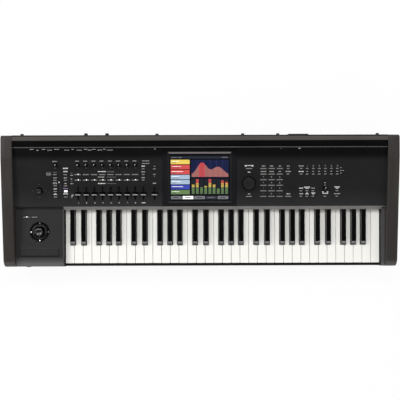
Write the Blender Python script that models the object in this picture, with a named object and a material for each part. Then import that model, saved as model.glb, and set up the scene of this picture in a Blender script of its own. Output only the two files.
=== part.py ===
"""Music workstation with sixty-one keys, in metres.

X runs along the keyboard to the treble end, Y to the rear and Z up. The origin is on the floor,
under the middle of the instrument. Controls on the sloping panel are placed by their plan position.
"""
import math

import bmesh
import bpy
from mathutils import Matrix, Vector

# Clearances
GAP = 0.0003
PIN_GAP = 0.0005
KEY_GAP = 0.001
KEY_SIDE_GAP = 0.0015

# Body
CHEEK_WIDTH = 0.030
LEFT_BLOCK_WIDTH = 0.1295
RIGHT_BLOCK_WIDTH = 0.0095
BODY_FRONT = -0.177
BODY_REAR = 0.1725
FULL_HEIGHT = 0.134
FOOT_HEIGHT = 0.006
FOOT_RADIUS = 0.011
FOOT_INSET = 0.06
FLOOR_THICKNESS = 0.003
WALL = 0.003
FRONT_WALL_TOP = 0.062
FRONT_LIP = 0.0057

# Cheeks
CHEEK_FRONT_TOP = 0.107
CHEEK_CREST_Y = 0.112
CHEEK_NOSE = 0.025
CHEEK_REAR_ROUND = 0.0095
CHEEK_EDGE = 0.002
CHEEK_BOTTOM = 0.005

# Keys
KEY_PITCH = 0.0235
OCTAVES = 5
WHITES_PER_OCTAVE = 7
KEY_FRONT = -0.1682
KEY_REAR = -0.005
KEY_TOP = 0.079
KEY_BOTTOM = 0.062
KEY_WALL = 0.0016
KEY_EDGE = 0.0008
KEY_CORNER = 0.0012
BLACK_FRONT = -0.1193
BLACK_WIDTH = 0.0137
BLACK_TOP_WIDTH = 0.0098
BLACK_TOP = 0.0905
BLACK_BOTTOM = 0.066
BLACK_SHOULDER = 0.0805
BLACK_TOP_FRONT = -0.1105
BLACK_CENTRES = (0.0202, 0.0495, 0.0902, 0.1173, 0.1433)

# Key hinges
HINGE_Z = 0.068
BLACK_HINGE_Y = 0.012
HINGE_STEP = 0.008
HINGE_RADIUS = 0.0022
HINGE_PIN_RADIUS = 0.0012
HINGE_PIN_LENGTH = 0.001
ARM_WIDTH = 0.008
ARM_BOTTOM = 0.060
ARM_TOP = 0.0644

# Keybed chassis
CHASSIS_BOTTOM = 0.034
CHASSIS_THICKNESS = 0.002
CHASSIS_FRONT = -0.168
CHASSIS_REAR = 0.036
FIN_THICKNESS = 0.0024
FIN_MARGIN = 0.004
STOP_RAIL_Y = -0.150
STOP_RAIL_WIDTH = 0.008
KEY_DIP = 0.010
BALANCE_RAIL_Y = -0.030
BALANCE_RAIL_TOP = 0.055

# Sloping panel
PANEL_FRONT = -0.015
PANEL_FRONT_Z = 0.106
PANEL_REAR = 0.142
PANEL_REAR_Z = 0.1275
PANEL_THICKNESS = 0.0025
FASCIA_FOOT_Y = -0.024
FASCIA_FOOT_Z = 0.0925
SIDE_FOOT_Y = -0.0185

# Display module
BEZEL_LEFT = -0.100
BEZEL_RIGHT = 0.097
BEZEL_THICKNESS = 0.003
SEAT_OVERLAP = 0.003
SEAT_SHORT = 0.001
SEAT_SHARE = 0.6
SCREEN_CENTRE_X = -0.001
SCREEN_CENTRE_Y = 0.061
SCREEN_WIDTH = 0.1594
SCREEN_DEPTH = 0.1246
SCREEN_MARGIN = 0.004
SCREEN_BODY = 0.010
BEZEL_FLARE = 0.005

# Rear rail and jack panel
RAIL_CREST_Y = 0.1585
RAIL_BOTTOM = 0.105
RAIL_ROUND = 0.004
JACK_PANEL_THICKNESS = 0.003
SOCKET_RING = 0.0015
SOCKET_RING_WIDTH = 0.003
SOCKET_Z = 0.055
JACK_BORE = 0.0034
DIN_BORE = 0.0075
PEDAL_JACKS = (-0.440, -0.400)
INPUT_JACKS = (-0.300, -0.244)
OUTPUT_JACKS = (-0.190, -0.150, -0.110, -0.070)
DIN_SOCKETS = (0.020, 0.060)
USB_X = 0.120
USB_SIZE = (0.013, 0.012)
INLET_X = 0.2525
INLET_SIZE = (0.027, 0.020)
SWITCH_X = 0.2835
SWITCH_SIZE = (0.019, 0.012)
SWITCH_DEPTH = 0.006
SWITCH_TILT = math.radians(8)
SWITCH_GAP = 0.0006
LUG_POSITIONS = (-0.476, -0.115, 0.114, 0.208, 0.474)
LUG_RADIUS = 0.004
LUG_REACH = 0.0025
LUG_Z = 0.095
LEVEL_KNOBS = (-0.306, -0.2495)
LEVEL_KNOB_RADIUS = 0.005
LEVEL_KNOB_REACH = 0.009
LEVEL_KNOB_Z = 0.088
LEVEL_SHAFT_RADIUS = 0.003

# Headphone socket in the front of the case
PHONES_X = -0.4705
PHONES_Z = 0.045
PHONES_FRONT = -0.181
PHONES_NUT_RADIUS = 0.0065
PHONES_DEPTH = 0.025

# Controller block and joystick
BLOCK_TOP = 0.0935
BLOCK_REAR = -0.012
BLOCK_SHOULDER_Y = -0.1495
BLOCK_NOSE_DROP = 0.0155
BLOCK_WALL = 0.003
STICK_X = -0.4297
STICK_Y = -0.0832
STICK_RING_OUTER = 0.0265
STICK_RING_INNER = 0.0195
STICK_RING_DEPTH = 0.0012
STICK_OPENING = 0.029
STICK_OPENING_CORNER = 0.006
STICK_PIVOT_DEPTH = 0.018
STICK_CAP_RADIUS = 0.0113
STICK_CAP_LIFT = 0.006
STICK_CAP_HEIGHT = 0.006
STICK_SHAFT_RADIUS = 0.004
GIMBAL_OUTER = 0.024
GIMBAL_INNER = 0.017
GIMBAL_HEIGHT = 0.005
AXLE_RADIUS = 0.0015
LUG_WALL = 0.003
RIBBON_X = -0.4306
RIBBON_Y = -0.13775
RIBBON_SIZE = (0.1028, 0.0203)
RIBBON_DEPTH = 0.0012
SWITCH_ROW_Y = -0.0433
SWITCH_COLUMNS = (-0.4651, -0.4431)

# Vector joystick
VECTOR_X = -0.427
VECTOR_Y = 0.0265
VECTOR_OPENING = 0.011
VECTOR_PIVOT_DEPTH = 0.011
VECTOR_CAP_RADIUS = 0.0075
VECTOR_CAP_LIFT = 0.0045
VECTOR_CAP_HEIGHT = 0.0045
VECTOR_SHAFT_RADIUS = 0.0025
VECTOR_GIMBAL_OUTER = 0.017
VECTOR_GIMBAL_INNER = 0.011
VECTOR_GIMBAL_HEIGHT = 0.004
VECTOR_LUG_WALL = 0.002
VECTOR_AXLE_RADIUS = 0.001

# Knobs, sliders and buttons
COLUMN_PITCH = 0.02165
MIXER_COLUMN = -0.3236
MIXER_CHANNELS = 8
KEYPAD_COLUMN = 0.1673
BANK_COLUMN = 0.2669
BANK_PITCH = 0.01592
ROW_BASE = 0.0107
ROW_PITCH = 0.0147
LEFT_COLUMN_1 = -0.3840
LEFT_COLUMN_2 = -0.3563
VALUE_COLUMN = -0.1208
DIAL_X = 0.1291
DIAL_Y = 0.0455
DIAL_RADIUS = 0.0160
DIAL_HEIGHT = 0.012
DIAL_RECESS = 0.0012
KNOB_ROW_Y = 0.0944
VOLUME_X = -0.3815
TEMPO_X = 0.3298
TEMPO_Y = 0.0325
KNOB_RADIUS = 0.00575
KNOB_TOP_RADIUS = 0.0046
KNOB_HEIGHT = 0.012
SHAFT_RADIUS = 0.003
SHAFT_GAP = 0.0005
KNOB_LIFT = 0.0004
SLIDER_Y = 0.0191
SLIDER_TRAVEL = 0.030
SLOT_WIDTH = 0.004
STEM_WIDTH = 0.0024
STEM_LENGTH = 0.006
CAP_WIDTH = 0.016
CAP_LENGTH = 0.0096
CAP_HEIGHT = 0.010
CAP_RIDGE = 0.0036
CAP_LIFT = 0.0006
BUTTON_DEPTH = 0.0046
BUTTON_WIDE = 0.018
BUTTON_SMALL = 0.0086
BUTTON_GAP = 0.0003
BUTTON_RISE = 0.0013
BUTTON_EDGE = 0.0004
CARRIER_THICKNESS = 0.0015
CARRIER_MARGIN = 0.003

# Boards
BOARD_DEPTH = 0.0062
BOARD_THICKNESS = 0.0016
BOARD_LEFT = -0.400
BOARD_RIGHT = 0.372
BOARD_STRIP = 0.0035
BOARD_FRONT = SCREEN_CENTRE_Y - SCREEN_DEPTH / 2 - SCREEN_MARGIN - 4 * GAP - BOARD_STRIP
BOARD_REAR = 0.104
SPACER_SPOTS = (-0.394, -0.110, 0.110, 0.366)
SPACER_RADIUS = 0.003
MAIN_BOARD_Z = 0.018
MAIN_BOARD_SIZE = (0.560, 0.100)
MAIN_BOARD_Y = 0.085
POST_RADIUS = 0.004
SUPPLY_SIZE = (0.150, 0.075, 0.032)

SIDES_SMALL = 8
SIDES_PIN = 8
SIDES_KNOB = 10
SIDES_ROUND = 20

OCTAVE = WHITES_PER_OCTAVE * KEY_PITCH
FIELD_WIDTH = (OCTAVES * WHITES_PER_OCTAVE + 1) * KEY_PITCH
INNER_WIDTH = LEFT_BLOCK_WIDTH + RIGHT_BLOCK_WIDTH + FIELD_WIDTH + 2 * KEY_SIDE_GAP
INNER_LEFT = -INNER_WIDTH / 2
INNER_RIGHT = INNER_WIDTH / 2
BLOCK_RIGHT = INNER_LEFT + LEFT_BLOCK_WIDTH
FIELD_LEFT = BLOCK_RIGHT + KEY_SIDE_GAP
FIELD_RIGHT = FIELD_LEFT + FIELD_WIDTH
FLOOR_TOP = FOOT_HEIGHT + FLOOR_THICKNESS
CHASSIS_TOP = CHASSIS_BOTTOM + CHASSIS_THICKNESS
PANEL_TILT = math.atan2(PANEL_REAR_Z - PANEL_FRONT_Z, PANEL_REAR - PANEL_FRONT)
LOW_HINGE_Y = BLACK_HINGE_Y + HINGE_STEP
HIGH_HINGE_Y = LOW_HINGE_Y + HINGE_STEP
CARRIER_TOP = PANEL_THICKNESS + GAP
JACK_PANEL_FACE = BODY_REAR - 0.0005
JACK_PANEL_BACK = JACK_PANEL_FACE - JACK_PANEL_THICKNESS


def clear_scene():
    """Take every object out of the open file."""
    for item in list(bpy.data.objects):
        bpy.data.objects.remove(item, do_unlink=True)


def add_object(name, shape):
    """Object holding a finished bmesh."""
    mesh = bpy.data.meshes.new(name)
    shape.to_mesh(mesh)
    shape.free()
    item = bpy.data.objects.new(name, mesh)
    bpy.context.scene.collection.objects.link(item)
    return item


def combine(body, tool, operation):
    """Body after one exact Boolean with a tool, which is then removed."""
    step = body.modifiers.new("shape", "BOOLEAN")
    step.operation = operation
    step.solver = "EXACT"
    step.object = tool
    graph = bpy.context.evaluated_depsgraph_get()
    shaped = bpy.data.meshes.new_from_object(body.evaluated_get(graph))
    body.modifiers.remove(step)
    body.data = shaped
    bpy.data.objects.remove(tool, do_unlink=True)
    return body


def cut(body, shape):
    """Body with a bmesh shape taken out."""
    return combine(body, add_object("cutter", shape), "DIFFERENCE")


def fuse(body, shape):
    """Body with a bmesh shape joined to it."""
    return combine(body, add_object("joined", shape), "UNION")


def merged(shapes):
    """One bmesh holding several separate shapes."""
    whole = bmesh.new()
    for shape in shapes:
        mesh = bpy.data.meshes.new("piece")
        shape.to_mesh(mesh)
        shape.free()
        whole.from_mesh(mesh)
        bpy.data.meshes.remove(mesh)
    return whole


def loft(rings):
    """Closed solid skinned over rings of equal point count and capped at both ends."""
    shape = bmesh.new()
    loops = [[shape.verts.new(point) for point in ring] for ring in rings]
    for lower, upper in zip(loops, loops[1:]):
        for i in range(len(lower)):
            shape.faces.new((lower[i - 1], lower[i], upper[i], upper[i - 1]))
    shape.faces.new(loops[0])
    shape.faces.new(loops[-1])
    bmesh.ops.recalc_face_normals(shape, faces=shape.faces)
    return shape


def prism(outline, start, end, axis="Z"):
    """Outline of two-number points carried along an axis from start to end."""
    def ring(level):
        if axis == "X":
            return [(level, a, b) for a, b in outline]
        if axis == "Y":
            return [(a, level, b) for a, b in outline]
        return [(a, b, level) for a, b in outline]
    return loft([ring(start), ring(end)])


def box(low, high):
    """Block between two corners."""
    (x0, y0, z0), (x1, y1, z1) = low, high
    return prism([(x0, y0), (x1, y0), (x1, y1), (x0, y1)], z0, z1)


def circle(radius, sides, centre=(0.0, 0.0)):
    """Points round a circle, with a flat side on each axis."""
    turn = 2 * math.pi / sides
    return [(centre[0] + radius * math.cos(turn * (i + 0.5)), centre[1] + radius * math.sin(turn * (i + 0.5)))
            for i in range(sides)]


def turned(profile, sides):
    """Solid of revolution about Z of points (radius, height) that start and end on the axis."""
    shape = bmesh.new()
    points = [shape.verts.new((radius, 0.0, height)) for radius, height in profile]
    edges = [shape.edges.new(pair) for pair in zip(points, points[1:])]
    bmesh.ops.spin(shape, geom=points + edges, axis=(0, 0, 1), cent=(0, 0, 0),
                   angle=2 * math.pi, steps=sides, use_merge=True)
    bmesh.ops.remove_doubles(shape, verts=shape.verts, dist=0.000001)
    bmesh.ops.recalc_face_normals(shape, faces=shape.faces)
    return shape


def moved(shape, matrix):
    """Shape after a transform."""
    bmesh.ops.transform(shape, matrix=matrix, verts=shape.verts)
    return shape


def inset(outline, distance):
    """Anticlockwise outline drawn in by a distance, with its corners mitred."""
    drawn = []
    for i, point in enumerate(outline):
        before = Vector(point) - Vector(outline[i - 1])
        after = Vector(outline[(i + 1) % len(outline)]) - Vector(point)
        first = Vector((-before.y, before.x)).normalized()
        second = Vector((-after.y, after.x)).normalized()
        shift = (first + second) * (distance / (1 + first.dot(second)))
        drawn.append((point[0] + shift.x, point[1] + shift.y))
    return drawn


def arc(centre, radii, start, end, steps):
    """Points along an elliptical arc, angles in degrees."""
    return [(centre[0] + radii[0] * math.cos(math.radians(start + (end - start) * i / steps)),
             centre[1] + radii[1] * math.sin(math.radians(start + (end - start) * i / steps)))
            for i in range(steps + 1)]


def finish(item, colour, roughness, metallic=0.0, round_angle=None):
    """Give an object its own material, and smooth shading where it is round."""
    material = bpy.data.materials.new(item.name + "_finish")
    material.use_nodes = True
    shader = material.node_tree.nodes["Principled BSDF"]
    shader.inputs["Base Color"].default_value = (*colour, 1.0)
    shader.inputs["Roughness"].default_value = roughness
    shader.inputs["Metallic"].default_value = metallic
    item.data.materials.clear()
    item.data.materials.append(material)
    if round_angle is not None:
        item.data.shade_smooth()
        item.data.set_sharp_from_angle(angle=math.radians(round_angle))
    return item


def panel_z(y):
    """Height of the panel's surface at a plan position."""
    return PANEL_FRONT_Z + (y - PANEL_FRONT) * math.tan(PANEL_TILT)


def panel_frame(x, y, lift=0.0):
    """Transform with its origin over a plan point of the panel, and Z along the panel's normal."""
    place = Matrix.Translation((x, y, panel_z(y))) @ Matrix.Rotation(PANEL_TILT, 4, "X")
    return place @ Matrix.Translation((0, 0, lift))


def panel_line(depth, foot, past):
    """Three points of the panel's section at a depth under its surface, carried past its two ends."""
    rear = Vector((PANEL_REAR + past, panel_z(PANEL_REAR + past)))
    front = Vector((PANEL_FRONT, PANEL_FRONT_Z))
    foot = Vector(foot)
    foot = foot + (foot - front).normalized() * past
    down = Vector((math.sin(PANEL_TILT), -math.cos(PANEL_TILT)))
    drop = (foot - front).normalized()
    back = Vector((-drop.y, drop.x))
    corner = (down + back) * (depth / (1 + down.dot(back)))
    rear_drop = depth / math.cos(PANEL_TILT)
    return [(rear.x, rear.y - rear_drop), tuple(front + corner), tuple(foot + back * depth)]


def panel_section(top, bottom, foot, past=0.0):
    """Closed section of the panel between two depths."""
    return panel_line(top, foot, past) + panel_line(bottom, foot, past)[::-1]


FASCIA_FOOT = (FASCIA_FOOT_Y, FASCIA_FOOT_Z)
SIDE_LEAN = (PANEL_FRONT - SIDE_FOOT_Y) / (PANEL_FRONT_Z - BLOCK_TOP)
SIDE_FOOT = (SIDE_FOOT_Y, BLOCK_TOP + GAP + PANEL_THICKNESS * SIDE_LEAN)


def row_y(row):
    """Plan position of a row of buttons, counted from the front."""
    return ROW_BASE + row * ROW_PITCH


def button_groups():
    """Buttons of each carrier as (x, y, width), and the carrier's rectangles (x0, y0, x1, y1)."""
    wide, small = BUTTON_WIDE, BUTTON_SMALL
    mixer = [MIXER_COLUMN + i * COLUMN_PITCH for i in range(MIXER_CHANNELS + 1)]
    keypad = [KEYPAD_COLUMN + i * COLUMN_PITCH for i in range(4)]
    bank = [BANK_COLUMN + i * BANK_PITCH for i in range(7)]
    groups = {
        "left_function_buttons": [(LEFT_COLUMN_1, row_y(r), wide) for r in range(5)]
        + [(LEFT_COLUMN_2, row_y(r), small) for r in range(5)],
        "mixer_buttons": [(x, row_y(r), wide) for x in mixer[:-1] for r in (3, 4)]
        + [(mixer[-1], row_y(r), small) for r in (3, 4, 5)]
        + [(VALUE_COLUMN, row_y(r), small) for r in (4, 5)],
        "number_keypad": [(x, row_y(r), wide) for x in keypad[:3] for r in range(6)]
        + [(keypad[3], row_y(r), small) for r in (4, 5)] + [(keypad[3] + 0.0013, row_y(0), wide)]
        + [(DIAL_X, row_y(5), wide), (DIAL_X, row_y(0), wide)],
        "sequencer_buttons": [(x, row_y(r), small) for x in bank for r in (4, 5)]
        + [(x, row_y(r), small) for x in bank[:3] for r in (0, 1)]
        + [(bank[4], row_y(0), small), (bank[6], row_y(0), small), (bank[6], row_y(1), small)],
    }
    plates = {
        "left_function_buttons": [((LEFT_COLUMN_1, 0), (LEFT_COLUMN_2, 4))],
        "mixer_buttons": [((mixer[0], 3), (mixer[-1], 4)), ((mixer[-1], 4), (VALUE_COLUMN, 5))],
        "number_keypad": [((keypad[0], 0), (keypad[3], 5)), ((DIAL_X, 5), (keypad[0], 5)),
                          ((DIAL_X, 0), (keypad[0], 0))],
        "sequencer_buttons": [((bank[0], 0), (bank[2], 5)), ((bank[2], 4), (bank[6], 5)),
                              ((bank[2], 0), (bank[6], 0)), ((bank[6], 0), (bank[6], 1))],
    }
    return groups, plates


def carrier_rectangles(corners):
    """Plan rectangles of a button carrier from the columns and rows that it joins."""
    half = BUTTON_WIDE / 2 + CARRIER_MARGIN
    deep = BUTTON_DEPTH / 2 + CARRIER_MARGIN
    return [(min(a[0], b[0]) - half, row_y(min(a[1], b[1])) - deep,
             max(a[0], b[0]) + half, row_y(max(a[1], b[1])) + deep) for a, b in corners]


def button_cap(width, bottom, top):
    """Button with a chamfered top, centred on its own axis."""
    half_x, half_y = width / 2, BUTTON_DEPTH / 2
    outline = [(-half_x, -half_y), (half_x, -half_y), (half_x, half_y), (-half_x, half_y)]
    levels = [(outline, bottom), (outline, top - BUTTON_EDGE), (inset(outline, BUTTON_EDGE), top)]
    return loft([[(x, y, z) for x, y in ring] for ring, z in levels])


def make_button_strip(name, buttons, rectangles):
    """Carrier plate under the panel with its caps standing through the panel."""
    x0 = sum(x for x, y, width in buttons) / len(buttons)
    y0 = sum(y for x, y, width in buttons) / len(buttons)
    stretch = 1 / math.cos(PANEL_TILT)
    plates = [box((a - x0, (b - y0) * stretch, -CARRIER_TOP - CARRIER_THICKNESS),
                  (c - x0, (d - y0) * stretch, -CARRIER_TOP)) for a, b, c, d in rectangles]
    strip = add_object(name, plates[0])
    for plate in plates[1:]:
        fuse(strip, plate)
    caps = []
    for x, y, width in buttons:
        cap = button_cap(width, -CARRIER_TOP - CARRIER_THICKNESS / 2, BUTTON_RISE)
        caps.append(moved(cap, Matrix.Translation((x - x0, (y - y0) * stretch, 0))))
    fuse(strip, merged(caps))
    strip.matrix_world = panel_frame(x0, y0)
    return finish(strip, (0.03, 0.03, 0.032), 0.5)


def key_arm(centre, hinge_y):
    """Arm from the underside of a key to its hinge bar."""
    half_bar = 0.7 * HINGE_RADIUS
    root = KEY_REAR - KEY_WALL / 2
    section = [(root, ARM_BOTTOM), (hinge_y + half_bar, ARM_BOTTOM), (hinge_y + half_bar, HINGE_Z),
               (hinge_y - half_bar, HINGE_Z), (hinge_y - half_bar, ARM_TOP),
               (-KEY_REAR, ARM_TOP), (0, HINGE_Z + HINGE_RADIUS), (root, HINGE_Z + HINGE_RADIUS)]
    return prism(section, centre - ARM_WIDTH / 2, centre + ARM_WIDTH / 2, "X")


def hinge_bar(start, end, hinge_y):
    """Round bar along X with a pin at each end."""
    length = end - start
    profile = [(0, -HINGE_PIN_LENGTH), (HINGE_PIN_RADIUS, -HINGE_PIN_LENGTH), (HINGE_PIN_RADIUS, 0),
               (HINGE_RADIUS, 0), (HINGE_RADIUS, length), (HINGE_PIN_RADIUS, length),
               (HINGE_PIN_RADIUS, length + HINGE_PIN_LENGTH), (0, length + HINGE_PIN_LENGTH)]
    place = Matrix.Translation((start, hinge_y, HINGE_Z)) @ Matrix.Rotation(math.pi / 2, 4, "Y")
    return moved(turned(profile, SIDES_PIN), place)


def white_outline(left, right, rear_left, rear_right):
    """Plan of a white key, anticlockwise, with its front corners cut and its notches for black keys."""
    notch = BLACK_FRONT - KEY_GAP
    corner = KEY_CORNER
    outline = [(left, KEY_FRONT + corner), (left + corner, KEY_FRONT),
               (right - corner, KEY_FRONT), (right, KEY_FRONT + corner)]
    if rear_right < right:
        outline += [(right, notch), (rear_right, notch)]
    outline += [(rear_right, KEY_REAR), (rear_left, KEY_REAR)]
    if rear_left > left:
        outline += [(rear_left, notch), (left, notch)]
    return outline


def white_key(place, notched):
    """Hollow white key and the centre of its rear part, for a place from 0 to 7 in the octave."""
    half_gap = KEY_GAP / 2
    left = place * KEY_PITCH + half_gap
    right = (place + 1) * KEY_PITCH - half_gap
    rear_left, rear_right = left, right
    for centre in BLACK_CENTRES if notched else ():
        if centre < left + KEY_PITCH / 2 and centre + BLACK_WIDTH / 2 + KEY_GAP > left:
            rear_left = centre + BLACK_WIDTH / 2 + KEY_GAP
        if centre > left + KEY_PITCH / 2 and centre - BLACK_WIDTH / 2 - KEY_GAP < right:
            rear_right = centre - BLACK_WIDTH / 2 - KEY_GAP
    outline = white_outline(left, right, rear_left, rear_right)
    hollow = inset(outline, KEY_WALL)
    levels = [(inset(outline, KEY_EDGE), KEY_TOP), (outline, KEY_TOP - KEY_EDGE), (outline, KEY_BOTTOM),
              (hollow, KEY_BOTTOM), (hollow, KEY_TOP - 1.5 * KEY_WALL)]
    shape = loft([[(x, y, z) for x, y in ring] for ring, z in levels])
    return shape, (rear_left + rear_right) / 2


def black_ring(half, front, z, drawn=0.0):
    """Rectangle of a black key's section at one height."""
    return [(-half + drawn, front + drawn, z), (half - drawn, front + drawn, z),
            (half - drawn, KEY_REAR - drawn, z), (-half + drawn, KEY_REAR - drawn, z)]


def black_key(centre):
    """Hollow black key with leaning sides and a sloping front."""
    half, top_half = BLACK_WIDTH / 2, BLACK_TOP_WIDTH / 2
    rings = [black_ring(top_half, BLACK_TOP_FRONT, BLACK_TOP, KEY_EDGE),
             black_ring(top_half, BLACK_TOP_FRONT, BLACK_TOP - KEY_EDGE),
             black_ring(half, BLACK_FRONT, BLACK_SHOULDER),
             black_ring(half, BLACK_FRONT, BLACK_BOTTOM),
             black_ring(half, BLACK_FRONT, BLACK_BOTTOM, KEY_WALL),
             black_ring(half, BLACK_FRONT, BLACK_SHOULDER - KEY_WALL, KEY_WALL)]
    return moved(loft(rings), Matrix.Translation((centre, 0, 0)))


def make_comb(name, keys, hinge_y, span):
    """Comb of keys with their arms on one hinge bar, its origin on the hinge axis."""
    comb = add_object(name, hinge_bar(span[0], span[1], hinge_y))
    fuse(comb, merged([key_arm(centre, hinge_y) for shape, centre in keys]))
    fuse(comb, merged([shape for shape, centre in keys]))
    comb.data.transform(Matrix.Translation((0, -hinge_y, -HINGE_Z)))
    return comb


def make_keys():
    """Fifteen combs: two of white keys and one of black keys in each octave."""
    end_gap = FIN_THICKNESS / 2 + GAP
    span = (end_gap, OCTAVE - end_gap)
    last_span = (end_gap, OCTAVE + KEY_PITCH - end_gap)
    patterns = {"keys_c_e_g_b": ((0, 2, 4, 6), HIGH_HINGE_Y), "keys_d_f_a": ((1, 3, 5), LOW_HINGE_Y)}
    for octave in range(OCTAVES):
        x = FIELD_LEFT + octave * OCTAVE
        last = octave == OCTAVES - 1
        for stem, (places, hinge_y) in patterns.items():
            keys = [white_key(place, True) for place in places]
            comb_span = span
            if last and 0 in places:
                keys.append(white_key(WHITES_PER_OCTAVE, False))
                comb_span = last_span
            comb = make_comb(f"{stem}_{octave + 1}", keys, hinge_y, comb_span)
            comb.location = (x, hinge_y, HINGE_Z)
            finish(comb, (0.9, 0.9, 0.88), 0.25)
        blacks = [(black_key(centre), centre) for centre in BLACK_CENTRES]
        comb = make_comb(f"black_keys_{octave + 1}", blacks, BLACK_HINGE_Y, span)
        comb.location = (x, BLACK_HINGE_Y, HINGE_Z)
        finish(comb, (0.012, 0.012, 0.011), 0.3)


def make_chassis():
    """Keybed tray with its stop rails, and the fins that carry the hinge pins."""
    left, right = FIELD_LEFT - FIN_THICKNESS / 2, FIELD_RIGHT
    tray = add_object("keybed_chassis", box((left, CHASSIS_FRONT, CHASSIS_BOTTOM),
                                            (right, CHASSIS_REAR, CHASSIS_TOP)))
    reach = HIGH_HINGE_Y - STOP_RAIL_Y
    drop = KEY_DIP * reach / (HIGH_HINGE_Y - KEY_FRONT)
    rail_top = KEY_BOTTOM - drop - GAP
    into = CHASSIS_THICKNESS / 2
    fuse(tray, merged([
        box((left, STOP_RAIL_Y, CHASSIS_TOP - into), (right, STOP_RAIL_Y + STOP_RAIL_WIDTH, rail_top)),
        box((left, BALANCE_RAIL_Y, CHASSIS_TOP - into),
            (right, BALANCE_RAIL_Y + STOP_RAIL_WIDTH, BALANCE_RAIL_TOP))]))
    fins = []
    top = HINGE_Z + FIN_MARGIN
    for i in range(OCTAVES + 2):
        x = FIELD_LEFT + min(i * OCTAVE, OCTAVES * OCTAVE + KEY_PITCH)
        rear = HIGH_HINGE_Y - FIN_MARGIN if i == OCTAVES else HIGH_HINGE_Y + FIN_MARGIN
        half = FIN_THICKNESS / 2
        edge = min(x + half, right)
        fins.append(box((x - half, BLACK_HINGE_Y - FIN_MARGIN, CHASSIS_TOP - into), (edge, rear, top)))
    fuse(tray, merged(fins))
    bore = circle(HINGE_PIN_RADIUS + PIN_GAP, SIDES_PIN)
    for y in (BLACK_HINGE_Y, LOW_HINGE_Y, HIGH_HINGE_Y):
        outline = [(y + a, HINGE_Z + b) for a, b in bore]
        cut(tray, prism(outline, left - WALL, right + WALL, "X"))
    finish(tray, (0.35, 0.35, 0.36), 0.4, 0.9)


def make_bottom_case():
    """Tub with front slip, feet, headphone socket and the posts that carry the inside."""
    section = [(BODY_FRONT, FOOT_HEIGHT), (JACK_PANEL_BACK - GAP, FOOT_HEIGHT),
               (JACK_PANEL_BACK - GAP, FLOOR_TOP), (BODY_FRONT + WALL, FLOOR_TOP),
               (BODY_FRONT + WALL, FRONT_WALL_TOP - WALL), (BODY_FRONT + FRONT_LIP, FRONT_WALL_TOP - WALL),
               (BODY_FRONT + FRONT_LIP, FRONT_WALL_TOP), (BODY_FRONT, FRONT_WALL_TOP)]
    case = add_object("bottom_case", prism(section, INNER_LEFT + GAP, INNER_RIGHT - GAP, "X"))
    posts = []
    into = FLOOR_THICKNESS / 2
    foot_x = INNER_RIGHT - FOOT_INSET
    for x in (-foot_x, foot_x):
        for y in (BODY_FRONT + FOOT_INSET / 2, JACK_PANEL_BACK - FOOT_INSET / 2):
            posts.append(prism(circle(FOOT_RADIUS, SIDES_KNOB, (x, y)), 0, FOOT_HEIGHT + into))
    chassis_x = [FIELD_LEFT + FIELD_WIDTH * share for share in (0.03, 0.35, 0.65, 0.97)]
    for x in chassis_x:
        for y in (CHASSIS_FRONT + 2 * POST_RADIUS, CHASSIS_REAR - 2 * POST_RADIUS):
            outline = circle(POST_RADIUS, SIDES_SMALL, (x, y))
            posts.append(prism(outline, FLOOR_TOP - into, CHASSIS_BOTTOM - GAP))
    board_x = MAIN_BOARD_SIZE[0] / 2 - 2 * POST_RADIUS
    board_y = MAIN_BOARD_SIZE[1] / 2 - 2 * POST_RADIUS
    for x in (-board_x, board_x):
        for y in (MAIN_BOARD_Y - board_y, MAIN_BOARD_Y + board_y):
            outline = circle(POST_RADIUS, SIDES_SMALL, (x, y))
            posts.append(prism(outline, FLOOR_TOP - into, MAIN_BOARD_Z - GAP))
    fuse(case, merged(posts))
    ring = circle(PHONES_NUT_RADIUS, SIDES_KNOB, (PHONES_X, PHONES_Z))
    fuse(case, prism(ring, PHONES_FRONT, BODY_FRONT + WALL + PHONES_DEPTH, "Y"))
    bore = circle(JACK_BORE, SIDES_PIN, (PHONES_X, PHONES_Z))
    cut(case, prism(bore, PHONES_FRONT - WALL, BODY_FRONT + PHONES_DEPTH, "Y"))
    finish(case, (0.02, 0.02, 0.02), 0.45)


def block_outline(rear, bottom):
    """Section of the controller block: flat top, rounded nose, upright front."""
    nose_width = BLOCK_SHOULDER_Y - BODY_FRONT
    nose = arc((BLOCK_SHOULDER_Y, BLOCK_TOP - BLOCK_NOSE_DROP), (nose_width, BLOCK_NOSE_DROP), 90, 180, 6)
    return [(rear, bottom), (rear, BLOCK_TOP)] + nose + [(BODY_FRONT, bottom)]


def make_cheeks():
    """End cheeks, the treble one with the narrow block beside the top key."""
    nose = arc((BODY_FRONT + CHEEK_NOSE, CHEEK_FRONT_TOP - CHEEK_NOSE), (CHEEK_NOSE, CHEEK_NOSE), 96, 180, 6)
    round_ = CHEEK_REAR_ROUND
    rear = arc((BODY_REAR - round_, FULL_HEIGHT - round_), (round_, round_), 0, 90, 4)
    base = CHEEK_BOTTOM
    section = [(BODY_REAR, base)] + rear + [(CHEEK_CREST_Y, FULL_HEIGHT)] + nose + [(BODY_FRONT, base)]
    for name, inner, outer in (("left_cheek", INNER_LEFT, INNER_LEFT - CHEEK_WIDTH),
                               ("right_cheek", INNER_RIGHT, INNER_RIGHT + CHEEK_WIDTH)):
        cheek = add_object(name, prism(section, inner, outer, "X"))
        if name == "right_cheek":
            outline = block_outline(BLOCK_REAR, FRONT_WALL_TOP + GAP)
            fuse(cheek, prism(outline, FIELD_RIGHT + KEY_SIDE_GAP, inner + CHEEK_WIDTH / 2, "X"))
        edges = cheek.modifiers.new("edges", "BEVEL")
        edges.width = CHEEK_EDGE
        edges.segments = 2
        edges.limit_method = "ANGLE"
        edges.angle_limit = math.radians(60)
        finish(cheek, (0.045, 0.038, 0.034), 0.45, round_angle=35)


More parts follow.
